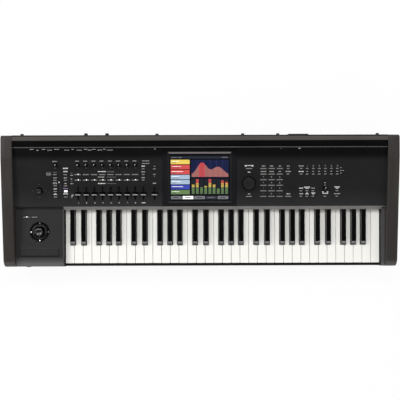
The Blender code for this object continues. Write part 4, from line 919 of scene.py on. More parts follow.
@dataclass
class Buttons(Assembly):
    """Five strips of buttons: dark caps with a grey bar of painted highlight across the top, on a carrier, with
    lamps on some.
    """

    depth: float = 0.0023
    wide: float = 0.018
    small: float = 0.0086
    rise: float = 0.0013
    edge: float = 0.0005
    highlight_half: float = 0.0012
    carrier: tuple[float, float] = (-0.0043, -0.0028)
    margin: float = 0.003
    block_top: float = 0.0935
    switch_y: float = -0.0433
    switch_columns: tuple[float, float] = (-0.4651, -0.4431)
    switch_plate: tuple[float, float] = (-0.0048, -0.0033)
    switch_foot: float = -0.0040
    function_highlight: float = 0.0105
    lamp_shift: tuple[float, float] = (0.0015, 0.0009)
    switch_lamp: tuple[float, float] = (0.001, 0.0008)

    def cap(self, width: float, foot: float) -> Array:
        """Rounded cap of one button: a rounded rectangle whose top edge rounds over."""
        return stacked(rounded(width / 2, self.depth, 0.0008, 3), edge_levels(foot, self.rise, self.edge))

    def lens(self, width: float) -> Array:
        """Grey bar of painted highlight across the top of a cap, where its edge catches light: a low bar with
        rounded ends and a rounded rim.
        """
        levels = edge_levels(self.rise - 0.0003, self.rise + 0.00025, 0.0002, steps=2)
        return stacked(rounded(width / 2 - 0.0007, self.highlight_half, 0.0005, 3), levels)

    def groups(self) -> dict[str, tuple[list, list, list]]:
        """Places of the wide and small caps, and the carrier's rectangles as (column, row) pairs."""
        row, mixer = LAYOUT.row, LAYOUT.mixer_columns
        keypad, bank = LAYOUT.keypad_columns, LAYOUT.bank_columns
        first, second, dial = LAYOUT.left_column, LAYOUT.second_column, LAYOUT.dial[0]
        return {
            "left_function_buttons": (
                [(first, row(r)) for r in range(5)], [(second, row(r)) for r in range(5) if r != 1],
                [((first, 0), (second, 4))]),
            "mixer_buttons": (
                [(x, row(r)) for x in mixer[:-1] for r in (3, 4)],
                [(mixer[-1], row(r)) for r in (3, 4, 5)] + [(LAYOUT.value_x, row(r)) for r in (4, 5)],
                [((mixer[0], 3), (mixer[-1], 4)), ((mixer[-1], 4), (LAYOUT.value_x, 5))]),
            "number_keypad": (
                [(x, row(r)) for x in keypad[:3] for r in range(6)]
                + [(keypad[3] + 0.0013, row(0)), (dial, row(5)), (dial, row(0))],
                [(keypad[3], row(r)) for r in (4, 5)],
                [((keypad[0], 0), (keypad[3], 5)), ((dial, 5), (keypad[0], 5)),
                 ((dial, 0), (keypad[0], 0))]),
            "sequencer_buttons": (
                [], [(x, row(r)) for x in bank for r in (4, 5)]
                + [(x, row(r)) for x in bank[:3] for r in (0, 1)]
                + [(bank[4], row(0)), (bank[6], row(0)), (bank[6], row(1))],
                [((bank[0], 0), (bank[2], 5)), ((bank[2], 4), (bank[6], 5)), ((bank[2], 0), (bank[6], 0)),
                 ((bank[6], 0), (bank[6], 1))]),
        }

    def build(self) -> list[Casting]:
        """Castings of the four panel strips and of the joystick switches."""
        foot = sum(self.carrier) / 2
        lamp = turned([(0.0013, self.rise - 0.0002), (0.0013, self.rise + 0.0003),
                       (0.0009, self.rise + 0.00055), (0.0003, self.rise + 0.0006)], 20)
        half, deep = self.wide / 2 + self.margin, self.depth + self.margin
        castings = []
        finishes = [BUTTON_CORE, BUTTON_GREY, LAMP_LIT, LAMP_WHITE_AND_GLOW, BUTTON_HIGHLIGHT]
        for name, (wides, smalls, plates) in self.groups().items():
            strip = Casting(f"{name}_caps", finishes, name, Slot.BUTTON, (name,))
            for width, places in ((self.wide, wides), (self.small, smalls)):
                if places:
                    bar = self.function_highlight if name == "left_function_buttons" else width
                    # The lens bar is a painted highlight on each cap.
                    strip.lay(self.cap(width, foot), places, mark=1).lay(self.lens(bar), places, mark=4)
            for a, b in plates:
                low = PLANE.spots([(min(a[0], b[0]) - half, LAYOUT.row(min(a[1], b[1])) - deep)])[0]
                high = PLANE.spots([(max(a[0], b[0]) + half, LAYOUT.row(max(a[1], b[1])) + deep)])[0]
                plate = block((*low[:2], self.carrier[0]), (*high[:2], self.carrier[1]))
                strip.add(plate, matrix=PLANE.matrix)
            if name == "left_function_buttons":
                strip.lay(self.cap(self.small, foot), (LAYOUT.second_column, LAYOUT.row(1)), mark=2)
            if name == "mixer_buttons":
                lit = [(x, LAYOUT.row(3)) for x in LAYOUT.mixer_columns[:-1]] + [(LAYOUT.mixer, LAYOUT.row(4))]
                strip.lay(lamp, np.add(lit, self.lamp_shift), mark=3)
            castings.append(strip)
        name = "joystick_buttons"
        strip = Casting(f"{name}_caps", finishes, name, Slot.BUTTON, (name,))
        places = [(x, self.switch_y, self.block_top) for x in self.switch_columns]
        strip.add(self.cap(self.wide, self.switch_foot), places, mark=1)
        strip.add(self.lens(self.wide), places, mark=4)
        low, high = (self.block_top + level for level in self.switch_plate)
        strip.add(block((self.switch_columns[0] - half, self.switch_y - deep, low),
                        (self.switch_columns[1] + half, self.switch_y + deep, high)))
        strip.add(lamp, np.add(places[0], (*self.switch_lamp, 0.0)), mark=3)
        castings.append(strip)
        return castings


@dataclass
class Sticks(Assembly):
    """Joystick and vector stick, the ring and the ribbon bed of the controller block."""

    centre: tuple[float, float] = (-0.4297, -0.0832)
    block_top: float = 0.0935
    pivot: float = 0.018
    vector: tuple[float, float] = (-0.427, 0.0265)
    vector_pivot: float = 0.011
    ribbon: tuple[float, float] = (-0.4306, -0.13775)
    ribbon_half: tuple[float, float] = (0.0514, 0.01015)
    nose_start: float = -0.1495
    nose: tuple[float, float] = (0.0275, 0.0155)
    nose_foot: float = 0.0624
    nose_lift: float = 0.00005
    nose_wall: float = 0.002
    dot_radius: float = 0.0229
    tick_radius: float = 0.0172
    block_sides: tuple[float, float] = (-0.4937, -0.3645)

    def lever(self, hub: float, shaft: float, reach: float, cap: float, height: float) -> Array:
        """Shaft and dished cap of a stick.

        Inside the cap's rim the top sinks as a paraboloid, whose depth is 0.6 of the height by one minus
        the square of the radius over the rim's.

        Args:
            hub: half size of the hub at the foot.
            shaft: radius of the shaft.
            reach: height of the cap's underside.
            cap: radius of the cap.
            height: height of the cap.

        Returns:
            A grid of points, shape (rows, sides, 3).
        """
        share = np.linspace(1, 0.06, 12)
        rim = cap * 0.86
        rows = [(shaft * 0.9, -hub * 0.5), (shaft, 0.0), (shaft * 0.92, reach * 0.8),
                (shaft * 1.15, reach * 0.97), (cap * 0.62, reach)]
        rows += [(cap * wide, reach + up * height)
                 for wide, up in ((0.90, 0.05), (0.99, 0.25), (1.0, 0.5), (0.985, 0.75), (0.94, 0.93))]
        dish = zip(rim * share, reach + height * (1 - 0.6 * (1 - share ** 2)))
        return turned(rows + list(dish), 56)

    def sticks(self) -> list[Casting]:
        """Both levers with their hubs and axles."""
        castings = []
        flat = np.eye(4)
        flat[:3, 3] = (*self.centre, self.block_top - self.pivot)
        slope = PLANE.matrix.copy()
        slope[:3, 3] += PLANE.matrix[:3, :3] @ PLANE.spots([self.vector], -self.vector_pivot)[0]
        for node, skin, matrix, inner, outer, axle, shaft, reach, cap, height in (
                ("joystick_lever", STICK_SATIN, flat, 0.017, 0.024, 0.0015, 0.004, 0.024, 0.0113, 0.006),
                ("vector_stick", RUBBER, slope, 0.011, 0.017, 0.001, 0.0025, 0.0155, 0.0075, 0.0045)):
            stick = Casting(f"{node}_cap", [skin, GIMBAL_DARK], node, Slot.STICK, (node,))
            hub = inner / 2 - 0.002
            stick.add(self.lever(hub, shaft, reach, cap, height), matrix=matrix)
            body = stacked(rounded(0.62 * hub, hub, 0.0008), np.array([[0, -0.62 * hub], [0, 0.62 * hub]]))
            pin = turned([(axle, 0.0005 - outer / 2), (axle, outer / 2 - 0.0005)], 20, Axis.Y)
            castings.append(stick.add(body, matrix=matrix, mark=1).add(pin, matrix=matrix, mark=1))
        return castings

    def surrounds(self) -> list[Casting]:
        """Ring groove painted black as painted shade, with its marks, two of which glow as painted light; ribbon
        bed with painted shade and a painted highlight round its edges; nose of the block; vector stick's ring;
        and dial's ring, painted black as painted shade in its recess.
        """
        x, y = self.centre
        ring = Casting("joystick_ring", [BLACK_GLOSS_AND_SHADE, LAMP_WHITE_AND_GLOW, INK_PALE], slot=Slot.BLOCK)
        # The groove is painted black as painted shade.
        groove = [(0.0270, -0.0010), (0.0270, 0.0001), (0.0267, 0.0003), (0.0262, 0.0002), (0.0257, -0.0006),
                  (0.0250, -0.0009), (0.0206, -0.0009), (0.0200, -0.0006), (0.0195, 0.0002), (0.0192, 0.0003),
                  (0.0190, 0.0001), (0.0190, -0.0010)]
        ring.add(turned(groove, 96), (x, y, self.block_top), ends=Ends.LOOPED)
        dot = turned([(0.0014, -0.0010), (0.0014, -0.0004), (0.0009, -0.0001), (0.0003, 0.0)], 20)
        step = self.dot_radius
        # The front and left dots take the lamp finish: a glow painted on printed dots, as painted light.
        ring.add(dot, [(x, y - step, self.block_top), (x - step, y, self.block_top)], mark=1)
        ring.add(dot, [(x + step, y, self.block_top), (x, y + step, self.block_top)], mark=2)
        bed = Casting("ribbon_bed", [BLOCK_GRAIN_AND_LIGHT, BLACK_GLOSS_AND_SHADE, EDGE_HIGHLIGHT_AND_SHADE], slot=Slot.BLOCK)
        levels = np.array([[-0.0004, -0.00118], [-0.0004, 0.0001], [0.0001, 0.00012], [0.0013, -0.0011],
                           [0.0017, -0.0011]])
        spot = (*self.ribbon, self.block_top)
        bed.add(stacked(rounded(*self.ribbon_half, 0.0022), levels), spot)
        # Painted shade: a black rim down the recess wall.
        rim = np.array([[0.0004, -0.0011], [0.0004, 0.0001], [-0.0006, 0.0001], [-0.0006, -0.0001]])
        bed.add(stacked(rounded(*self.ribbon_half, 0.0012), rim), spot, mark=1, ends=Ends.LOOPED)
        half_x, half_y = self.ribbon_half
        # Painted highlight on the rear edge, painted shade as black bars along the front and right edges.
        bed.add(block((-half_x, half_y + 0.0008, -0.0001), (half_x, half_y + 0.0016, 0.0001)), spot, mark=2)
        bed.add(block((-half_x, -half_y - 0.0018, -0.0001), (half_x, -half_y - 0.0005, 0.00012)), spot, mark=1)
        bed.add(block((half_x + 0.0005, -half_y, -0.0001), (half_x + 0.0015, half_y, 0.00012)), spot, mark=1)
        # The nose takes the block's finish, whose zone paints it lighter as a painted highlight.
        nose = Casting("block_nose", [BLOCK_GRAIN_AND_LIGHT], slot=Slot.BLOCK)
        middle = (self.nose_start, self.block_top - self.nose[1])
        outer = arc(middle, tuple(radius + self.nose_lift for radius in self.nose), 90, 180, 24)
        inner = arc(middle, tuple(radius - self.nose_wall for radius in self.nose), 180, 90, 24)
        section = np.concatenate([outer, [(outer[-1, 0], self.nose_foot), (inner[0, 0], self.nose_foot)], inner])
        nose.add(beam(section, *self.block_sides))
        vector = Casting("vector_ring", [BLOCK_GRAIN_AND_LIGHT, INK_DIM], slot=Slot.PANEL)
        lip = [(0.0126, -0.0004), (0.0126, 0.0002), (0.0122, 0.0005), (0.0112, 0.0005), (0.0107, 0.0002),
               (0.0106, -0.0020), (0.0110, -0.0021), (0.0112, -0.0004)]
        vector.lay(turned(lip, 64), self.vector, ends=Ends.LOOPED)
        tick = block((-0.0011, -0.0005, -0.0001), (0.0011, 0.0005, 0.00006))
        around = self.tick_radius * np.array([(1, 0), (-1, 0), (0, 1), (0, -1)])
        vector.lay(tick, around + self.vector, mark=1)
        # Painted shade: a black ring filling the dial's recess.
        dial = Casting("dial_ring_painted_shade", [BLACK_GLOSS_AND_SHADE], slot=Slot.PANEL)
        rim = [(0.0183, -0.0013), (0.0183, 0.0001), (0.0181, 0.00015), (0.0178, 0.0000), (0.0173, -0.0010),
               (0.0165, -0.0011), (0.0165, -0.0013)]
        dial.lay(turned(rim, 80), LAYOUT.dial, ends=Ends.LOOPED)
        return [ring, bed, nose, vector, dial]

    def build(self) -> list[Casting]:
        """Castings of the levers and of their surrounds."""
        return self.sticks() + self.surrounds()


# Printed words: x, y, width and height in millimetres, then the ink: bright, pale, dim or lilac.
PRINTED = """
-383.7 104.0 11.6 2.4 P
-382.8 86.9 5.3 1.7 D
-400.4 75.1 11.6 2.1 D
-400.5 71.2 12.7 2.1 P
-400.6 67.5 11.1 2.1 D
-383.7 75.1 10.0 2.1 D
-383.6 60.9 9.0 2.1 P
-384.4 48.3 9.0 1.7 P
-384.5 45.6 11.7 1.7 P
-384.1 31.9 8.0 2.4 B
-384.4 19.4 4.2 2.1 P
-384.5 17.1 8.5 2.4 B
-355.7 85.9 13.2 3.1 B
-355.9 77.5 11.1 2.7 B
-356.3 60.9 8.5 2.4 P
-356.7 46.2 5.3 2.4 P
-357.0 32.7 12.2 2.4 L
-357.1 18.9 12.2 2.4 B
-339.9 73.6 3.7 2.1 D
-339.5 67.5 6.9 2.1 P
-340.5 57.8 3.7 2.1 P
-340.4 51.2 4.2 1.7 D
-339.8 45.4 6.9 2.4 P
-338.6 15.2 5.8 2.8 P
-340.3 11.5 4.2 2.8 P
-341.5 8.3 3.2 2.1 D
-259.7 77.2 21.1 2.4 B
-236.0 76.7 18.5 2.1 D
-261.8 62.8 15.9 2.4 P
-234.1 62.5 23.8 1.7 D
-260.8 45.9 19.6 2.4 B
-234.4 45.6 23.8 1.7 D
-143.4 105.0 18.5 1.7 P
-143.5 98.2 18.5 1.7 P
-150.2 91.1 8.7 2.7 B
-150.4 76.2 9.5 2.4 P
-150.5 60.9 7.9 2.4 P
-120.6 90.9 3.4 1.7 P
-120.9 63.6 3.2 1.7 D
-121.0 46.2 8.5 2.4 P
129.3 92.2 22.2 2.1 B
120.6 90.1 4.8 2.1 B
138.1 90.1 4.8 2.1 B
129.5 74.6 6.9 2.7 B
130.0 17.1 6.4 2.8 P
167.4 90.6 9.5 2.4 P
188.7 90.6 8.4 2.4 P
210.4 90.6 5.3 2.4 P
232.6 90.6 6.9 2.4 P
167.5 76.2 14.0 2.4 P
188.9 76.2 11.6 2.4 P
210.6 76.2 6.3 2.4 P
232.8 76.2 13.7 2.4 P
233.8 17.1 10.1 3.1 P
266.6 90.6 12.7 2.4 P
266.9 75.9 13.2 2.4 B
371.8 85.9 3.7 1.4 P
374.6 78.5 10.6 1.4 P
372.2 71.7 3.7 1.4 P
267.7 32.1 10.1 2.4 B
283.3 34.8 15.9 2.4 B
283.4 31.6 9.0 2.1 B
299.5 32.1 9.5 2.1 P
268.0 17.3 10.1 3.1 P
283.6 19.4 3.7 2.1 B
283.7 16.8 8.5 2.1 B
299.8 19.4 10.1 2.1 B
299.9 16.8 5.8 2.1 B
330.7 46.2 4.2 2.1 P
330.9 39.8 4.8 1.4 P
325.8 21.8 3.7 2.8 B
338.0 21.8 3.7 2.8 B
331.9 18.4 14.9 2.4 B
362.8 35.3 14.3 2.1 B
362.9 32.1 6.9 2.4 B
363.3 17.3 15.9 2.4 P
-118.7 135.8 3.2 2.1 P
212.8 136.9 2.9 1.7 D
261.5 136.9 5.8 2.1 P
"""


@dataclass
class Legends(Assembly):
    """Plain bars where the panel has words, generic numbers, small lamps, and the bead at the rear edge, lighter
    as a painted highlight.
    """

    lift: float = 0.00005
    sunk: float = 0.0001
    stroke: float = 0.0007
    word: float = 0.0042
    gap: float = 0.0007
    above: float = 0.0068
    below_sliders: float = -0.0055
    knob_bar: tuple[float, float, float, float] = (-0.001, 0.0103, 0.010, 0.0018)
    knob_dash: tuple[float, float, float, float] = (0.0006, -0.0076, 0.0045, 0.0014)
    master_bar: tuple[float, float, float, float] = (0, 0, 0.0105, 0.0018)
    bank_bar: tuple[float, float, float, float] = (0, 0, 0.0044, 0.0017)
    key_dash: tuple[float, float, float, float] = (0, 0, 0.0016, 0.0006)
    rear_row: tuple[tuple[int, int], ...] = (
        (-443, 10), (-428, 5), (-412, 9), (-396, 12), (-377, 12), (-351, 13), (-335, 6), (-318, 13),
        (-301, 9), (-290, 10), (-279, 8), (-264, 12), (-252, 6), (-237, 15))
    rear_y: tuple[float, float] = (0.1357, 0.1335)
    rear_height: float = 0.0014
    big_lamp: tuple[float, float] = (-0.3735, 0.0494)
    small_lamps: tuple[float, float, float] = (-0.3703, 0.0255, 0.0052)
    bead: tuple[float, float] = (0.0013, 0.0014)
    bead_side: float = 0.4936
    digit: tuple[float, float] = (0.0019, 0.0026)
    segments: tuple[str, ...] = ("abcdef", "bc", "abged", "abgcd", "fgbc", "afgcd", "afgedc", "abc",
                                 "abcdefg", "abcdfg")

    def number(self, value: int) -> list[tuple[float, float, float, float]]:
        """Bars of a seven-stroke digit as (x, y, width, height) about its middle."""
        half_x, half_y, s = self.digit[0] / 2, self.digit[1] / 2, self.stroke
        bars = {"a": (0, half_y, 2 * half_x, s), "g": (0, 0, 2 * half_x, s), "d": (0, -half_y, 2 * half_x, s),
                "f": (-half_x, half_y / 2, s, half_y), "b": (half_x, half_y / 2, s, half_y),
                "e": (-half_x, -half_y / 2, s, half_y), "c": (half_x, -half_y / 2, s, half_y)}
        return [bars[name] for name in self.segments[value]]

    def bar(self, width: float, height: float) -> Array:
        """A thin printed bar."""
        return block((-width / 2, -height / 2, -self.sunk), (width / 2, height / 2, self.lift))

    def words(self, width: float) -> list[tuple[float, float]]:
        """Bars that stand for words: (offset, width) of each, with gaps between.

        The lengths are uneven: their shares are one plus 0.35 by the cosine of 2.4 times the bar's number
        plus 40 times the whole width.
        """
        count = max(1, round(width / self.word))
        share = 1 + 0.35 * np.cos(2.4 * np.arange(count) + 40 * width)
        lengths = share / share.sum() * (width - self.gap * (count - 1))
        starts = np.concatenate([[0], np.cumsum(lengths + self.gap)[:-1]]) - width / 2
        return list(zip(starts + lengths / 2, lengths))

    def build(self) -> list[Casting]:
        """One casting of all that is on the panel's face, and one of the bead."""
        inks = {"B": 0, "P": 1, "D": 2, "L": 3}
        legends = Casting("panel_legends", [INK_BRIGHT, INK_PALE, INK_DIM, INK_LILAC, LAMP_WHITE_AND_GLOW],
                          slot=Slot.PANEL)
        for line in PRINTED.strip().split("\n"):
            *sizes, ink = line.split()
            x, y, width, height = (float(value) * MILLI for value in sizes)
            bars = [(offset, 0, length, height) for offset, length in self.words(width)]
            self.place_bars(legends, bars, x, y, inks[ink])
        for x in LAYOUT.mixer_columns[:-1]:
            self.place_bars(legends, [self.knob_bar], x, LAYOUT.knob_y, 1)
            self.place_bars(legends, [self.knob_dash], x, LAYOUT.knob_y, 2)
        self.place_bars(legends, [self.master_bar], LAYOUT.mixer_columns[-1], self.below_sliders, 0)
        for i, x in enumerate(LAYOUT.mixer_columns[:-1]):
            self.place_bars(legends, self.number(i + 1), x, self.below_sliders, 0)
        numbers = ((7, 8, 9), (4, 5, 6), (1, 2, 3), (None, 0, None))
        for r, row in enumerate(numbers):
            for x, value in zip(LAYOUT.keypad_columns, row):
                bars = [self.key_dash] if value is None else self.number(value)
                self.place_bars(legends, bars, x, LAYOUT.row(3 - r) + self.above, 1)
        for i, x in enumerate(LAYOUT.bank_columns[1:]):
            self.place_bars(legends, self.number(i + 1), x, LAYOUT.row(5) + self.above, 1)
            self.place_bars(legends, [self.bank_bar], x, LAYOUT.row(4) + self.above, 1)
        for i, (x, width) in enumerate(self.rear_row):
            bars = [(offset, 0, length, self.rear_height) for offset, length in self.words(width * MILLI)]
            self.place_bars(legends, bars, x * MILLI, self.rear_y[i % 2], 1)
        lamp = turned([(0.0011, -0.0003), (0.0011, 0.0002), (0.0007, 0.0005), (0.0002, 0.0006)], 16)
        legends.lay(lamp, self.big_lamp, mark=4)
        x, first, step = self.small_lamps
        legends.lay(lamp * (0.6, 0.6, 0.8), [(x, first + step * i) for i in range(4)], mark=3)
        # The bead is painted light grey as a painted edge highlight.
        bead = Casting("panel_bead", [EDGE_HIGHLIGHT_AND_SHADE], slot=Slot.PANEL)
        middle = (PLANE.rear - self.bead[0], PLANE.height(PLANE.rear) - 0.0008)
        bead.add(beam(arc(middle, self.bead, 0, 180, 10), -self.bead_side, self.bead_side))
        return [legends, bead]

    def place_bars(self, casting: Casting, bars: list[tuple[float, float, float, float]], x: float, y: float,
                   mark: int) -> None:
        """Add bars, given as (x, y, width, height), about a plan point of the panel."""
        for dx, dy, width, height in bars:
            casting.lay(self.bar(width, height), (x + dx, y + dy), mark)


@dataclass
class Display(Assembly):
    """Lit page of the touch screen, of a made-up layout, a strip of painted reflection on the bezel's rear slope
    behind it, and the bezel's seams.
    """

    centre: tuple[float, float] = (-0.001, 0.061)
    size: tuple[float, float] = (159.4, 124.6)
    level: float = -0.0032
    flare: float = 0.005
    depth: float = 0.003
    sides: tuple[float, float] = (-0.0997, 0.0967)
    amber: tuple[int, int, int] = (222, 196, 92)
    red: tuple[int, int, int] = (200, 80, 80)
    pale: tuple[int, int, int] = (160, 180, 202)
    salmon: tuple[int, int, int] = (172, 110, 102)
    deep: tuple[int, int, int] = (62, 72, 168)
    gold: tuple[int, int, int] = (202, 170, 84)
    green: tuple[int, int, int] = (100, 126, 82)
    grey: tuple[int, int, int] = (112, 114, 118)
    white: tuple[int, int, int] = (250, 250, 250)
    dark: tuple[int, int, int] = (26, 28, 33)
    backing: tuple[int, int, int] = (22, 24, 28)
    list_top: float = 97.5
    list_pitch: float = 13.4
    plot: tuple[float, float, float, float] = (57, 62, 99.5, 47)
    hill_pitch: float = 3.25
    meter_pitch: float = 11.1
    lamp_pitch: float = 3.6
    tab_pitch: float = 31
    shine: float = 0.00012
    seam_half: float = 0.00035
    seam_lift: float = 0.00006
    seam_sunk: float = 0.001
    fascia_foot: tuple[float, float] = (-0.0238, 0.0928)

    def tiles(self) -> list[tuple[float, float, float, float, tuple[int, int, int]]]:
        """Rectangles of the page in millimetres from its near left corner: x, y, width, height, colour.

        The curve is 5 plus 33 by one bell curve plus 22 by another. The level of each meter is 3 plus the
        rounded value of 4.5 plus 3.5 by the sine of 1.9 times the meter's number.
        """
        page = [(2, 112, 155.4, 6.5, (44, 47, 54))]
        page += [(x, 114.4, width, 1.6, self.grey) for x, width in ((4, 16), (23, 9), (138, 15))]
        rows = (self.amber, self.red, self.red, self.pale, self.pale, self.deep, self.green)
        for i, colour in enumerate(rows):
            y = self.list_top - self.list_pitch * i
            page += [(3, y, 50, 11.6, colour), (5.5, y + 6.4, 20 + 5 * (i % 3), 1.4, self.white),
                     (5.5, y + 2.8, 12 + 7 * (i % 2), 1.2, self.dark)]
        left, low, wide, high = self.plot
        page.append((*self.plot, (32, 37, 66)))
        page += [(left + wide * i / 6, low, 0.4, high, (66, 74, 120)) for i in range(1, 6)]
        step = np.arange(30)
        hill = 5 + 33 * np.exp(-((step - 8) / 5.5) ** 2) + 22 * np.exp(-((step - 21) / 6.0) ** 2)
        page += [(left + 1.5 + self.hill_pitch * i, low + 1.5, 2.5, height,
                  self.red if height > 33 else self.salmon) for i, height in zip(step, hill)]
        for i in range(9):
            lit = 3 + round(4.5 + 3.5 * math.sin(1.9 * i))
            x = left + self.meter_pitch * i
            page.append((x, 17, 10.2, 42, (38, 40, 46)))
            for j in range(lit):
                colour = self.green if j < 5 else self.gold if j < 8 else self.red
                page.append((x + 1.6, 18.4 + self.lamp_pitch * j, 7.0, 2.8, colour))
        tabs = (self.grey, self.white, self.grey, (60, 62, 68), self.grey)
        page += [(3 + self.tab_pitch * i, 4, 28.5, 8.5, colour) for i, colour in enumerate(tabs)]
        page += [(9 + self.tab_pitch * i, 7.4, 15, 1.6, self.dark if colour[0] > 100 else self.grey)
                 for i, colour in enumerate(tabs)]
        return page

    def build(self) -> list[Casting]:
        """The page as thin tiles over a dark sheet, a strip of painted reflection on the bezel's rear slope and
        two seams.
        """
        page = Casting("screen_page", [PAGE], slot=Slot.SCREEN)
        half_x, half_y = (side * MILLI / 2 for side in self.size)
        sheet = block((-half_x, -half_y, self.level - 0.0002), (half_x, half_y, self.level))
        page.lay(sheet, self.centre, tint=self.backing)
        for order, (x, y, width, height, colour) in enumerate(self.tiles()):
            low = (x * MILLI - half_x, y * MILLI - half_y, self.level - 0.00005)
            top = self.level + 0.00003 + 0.0000002 * order
            tile = block(low, (low[0] + width * MILLI, low[1] + height * MILLI, top))
            page.lay(tile, self.centre, tint=colour)
        # The strip's light grey is a painted reflection on the bezel's rear slope.
        strip = Casting("bezel_reflection_strip", [BEZEL_REFLECTION], slot=Slot.BEZEL)
        share = np.array([0.03, 0.95])
        along = half_x + self.flare * share
        up, lift = half_y / math.cos(PLANE.tilt) + self.flare * share, -self.depth * (1 - share)
        normal = np.array([-self.depth, self.flare]) / math.hypot(self.depth, self.flare) * self.shine
        corners = ((-1, (0, 0)), (1, (0, 0)), (1, normal), (-1, normal))
        grid = np.stack([np.stack([side * along, up + out[0], lift + out[1]], 1) for side, out in corners], 1)
        strip.lay(grid, self.centre)
        seams = Casting("bezel_seams", [BLACK_GLOSS_AND_SHADE], slot=Slot.BEZEL)
        (y, z), out, sunk, rear = self.fascia_foot, self.seam_lift, self.seam_sunk, PLANE.rear - 0.0005
        section = [(PLANE.front, PLANE.front_z - sunk), (y, z - sunk), (y - out, z),
                   (PLANE.front - out, PLANE.front_z + out), (rear, PLANE.rear_z + out),
                   (rear, PLANE.rear_z - sunk)]
        for x in self.sides:
            seams.add(beam(section, x - self.seam_half, x + self.seam_half))
        return [page, strip, seams]


@dataclass
class Shell(Assembly):
    """End cheeks with the narrow treble block, the rear rail and the rubber feet."""

    inner: float = 0.494
    width: float = 0.030
    front: float = -0.177
    rear: float = 0.1725
    top: float = 0.134
    base: float = 0.005
    nose: float = 0.025
    nose_top: float = 0.107
    crest: float = 0.112
    round_rear: float = 0.0095
    edge: float = 0.0018
    crest_radius: float = 0.05
    block_left: float = 0.4845
    block_top: float = 0.0935
    block_rear: float = -0.012
    block_foot: float = 0.0623
    block_nose: tuple[float, float] = (0.0275, 0.0155)
    block_nose_start: float = -0.1495
    block_edge: float = 0.0007
    block_tuck: float = 0.004
    rail_side: float = 0.4937
    foot_x: float = 0.434
    foot_y: tuple[float, float] = (-0.147, 0.1382)

    def cheek_section(self) -> Array:
        """Side view of a cheek, anticlockwise in Y and Z: rear round, long slope and front nose as arcs."""
        radius, wide, nose = self.round_rear, self.crest_radius, self.nose
        rear = arc((self.rear - radius, self.top - radius), (radius, radius), 0, 90, 12)
        crest = arc((self.crest + 0.004, self.top - wide), (wide, wide), 90, 96, 4)
        nose = arc((self.front + nose, self.nose_top - nose), (nose, nose), 96, 180, 24)
        return np.concatenate([[(self.rear, self.base)], rear, crest, nose, [(self.front, self.base)]])

    def cheeks(self) -> list[Casting]:
        """Both cheeks: the side view carried along X, its rims rounded over; the right one has a block."""
        castings = []
        section = self.cheek_section()
        levels = edge_levels(self.inner, self.inner + self.width, self.edge, both=True)
        for name, side in (("left_cheek", -1), ("right_cheek", 1)):
            cheek = Casting(f"{name}_panel", [CHEEK_STAIN, EDGE_HIGHLIGHT_AND_SHADE], slot=Slot.CHEEK, stands_for=(name,))
            castings.append(cheek.add(stacked(section, levels, Axis.X) * (side, 1, 1)))
        middle = (self.block_nose_start, self.block_top - self.block_nose[1])
        outline = np.concatenate([[(self.block_rear, self.block_foot), (self.block_rear, self.block_top)],
                                  arc(middle, self.block_nose, 90, 180, 24), [(self.front, self.block_foot)]])
        rim = edge_levels(-self.inner - self.block_tuck, -self.block_left, self.block_edge)
        # The narrow treble block is painted light grey as a painted edge highlight, with painted shade on its
        # left wall.
        castings[1].add(stacked(outline, rim, Axis.X) * (-1, 1, 1), mark=1)
        return castings

    def rail(self) -> Casting:
        """Rear rail, hollow inside: slope, crest as a quadratic curve between two tangents, rear round."""
        share = np.linspace(0, 1, 7)[:, None]
        start, knee, end = np.array([[0.1545, 0.1325], [0.1585, 0.134], [0.1625, 0.134]])
        crest = (1 - share) ** 2 * start + 2 * share * (1 - share) * knee + share ** 2 * end
        rear = arc((self.rear - 0.004, self.top - 0.004), (0.004, 0.004), 90, 0, 8)
        foot = PLANE.height(PLANE.rear)
        outer = np.concatenate([[(0.1423, foot - 0.0025), (0.1423, foot + 0.0005)], crest, rear,
                                [(self.rear, 0.105)]])
        inner = np.array([(0.1695, 0.105), (0.1695, 0.128), (0.1585, 0.1295), (0.1453, foot - 0.0025)])
        rail = Casting("rear_rail_cover", [RAIL_PAINT_AND_HIGHLIGHT], slot=Slot.RAIL, stands_for=("rear_rail",))
        return rail.add(beam(np.concatenate([outer, inner])[::-1], -self.rail_side, self.rail_side))

    def feet(self) -> Casting:
        """Four rubber feet with a groove round the side."""
        feet = Casting("rubber_feet", [RUBBER], slot=Slot.CASE)
        profile = [(0.0085, 0.0), (0.0104, 0.0), (0.0112, 0.0008), (0.0113, 0.0026), (0.0111, 0.0030),
                   (0.0113, 0.0034), (0.0113, 0.0061)]
        places = [(x, y, 0) for y in self.foot_y for x in (-self.foot_x, self.foot_x)]
        return feet.add(turned(profile, 48), places)

    def build(self) -> list[Casting]:
        """Castings of the shell."""
        return self.cheeks() + [self.rail(), self.feet()]


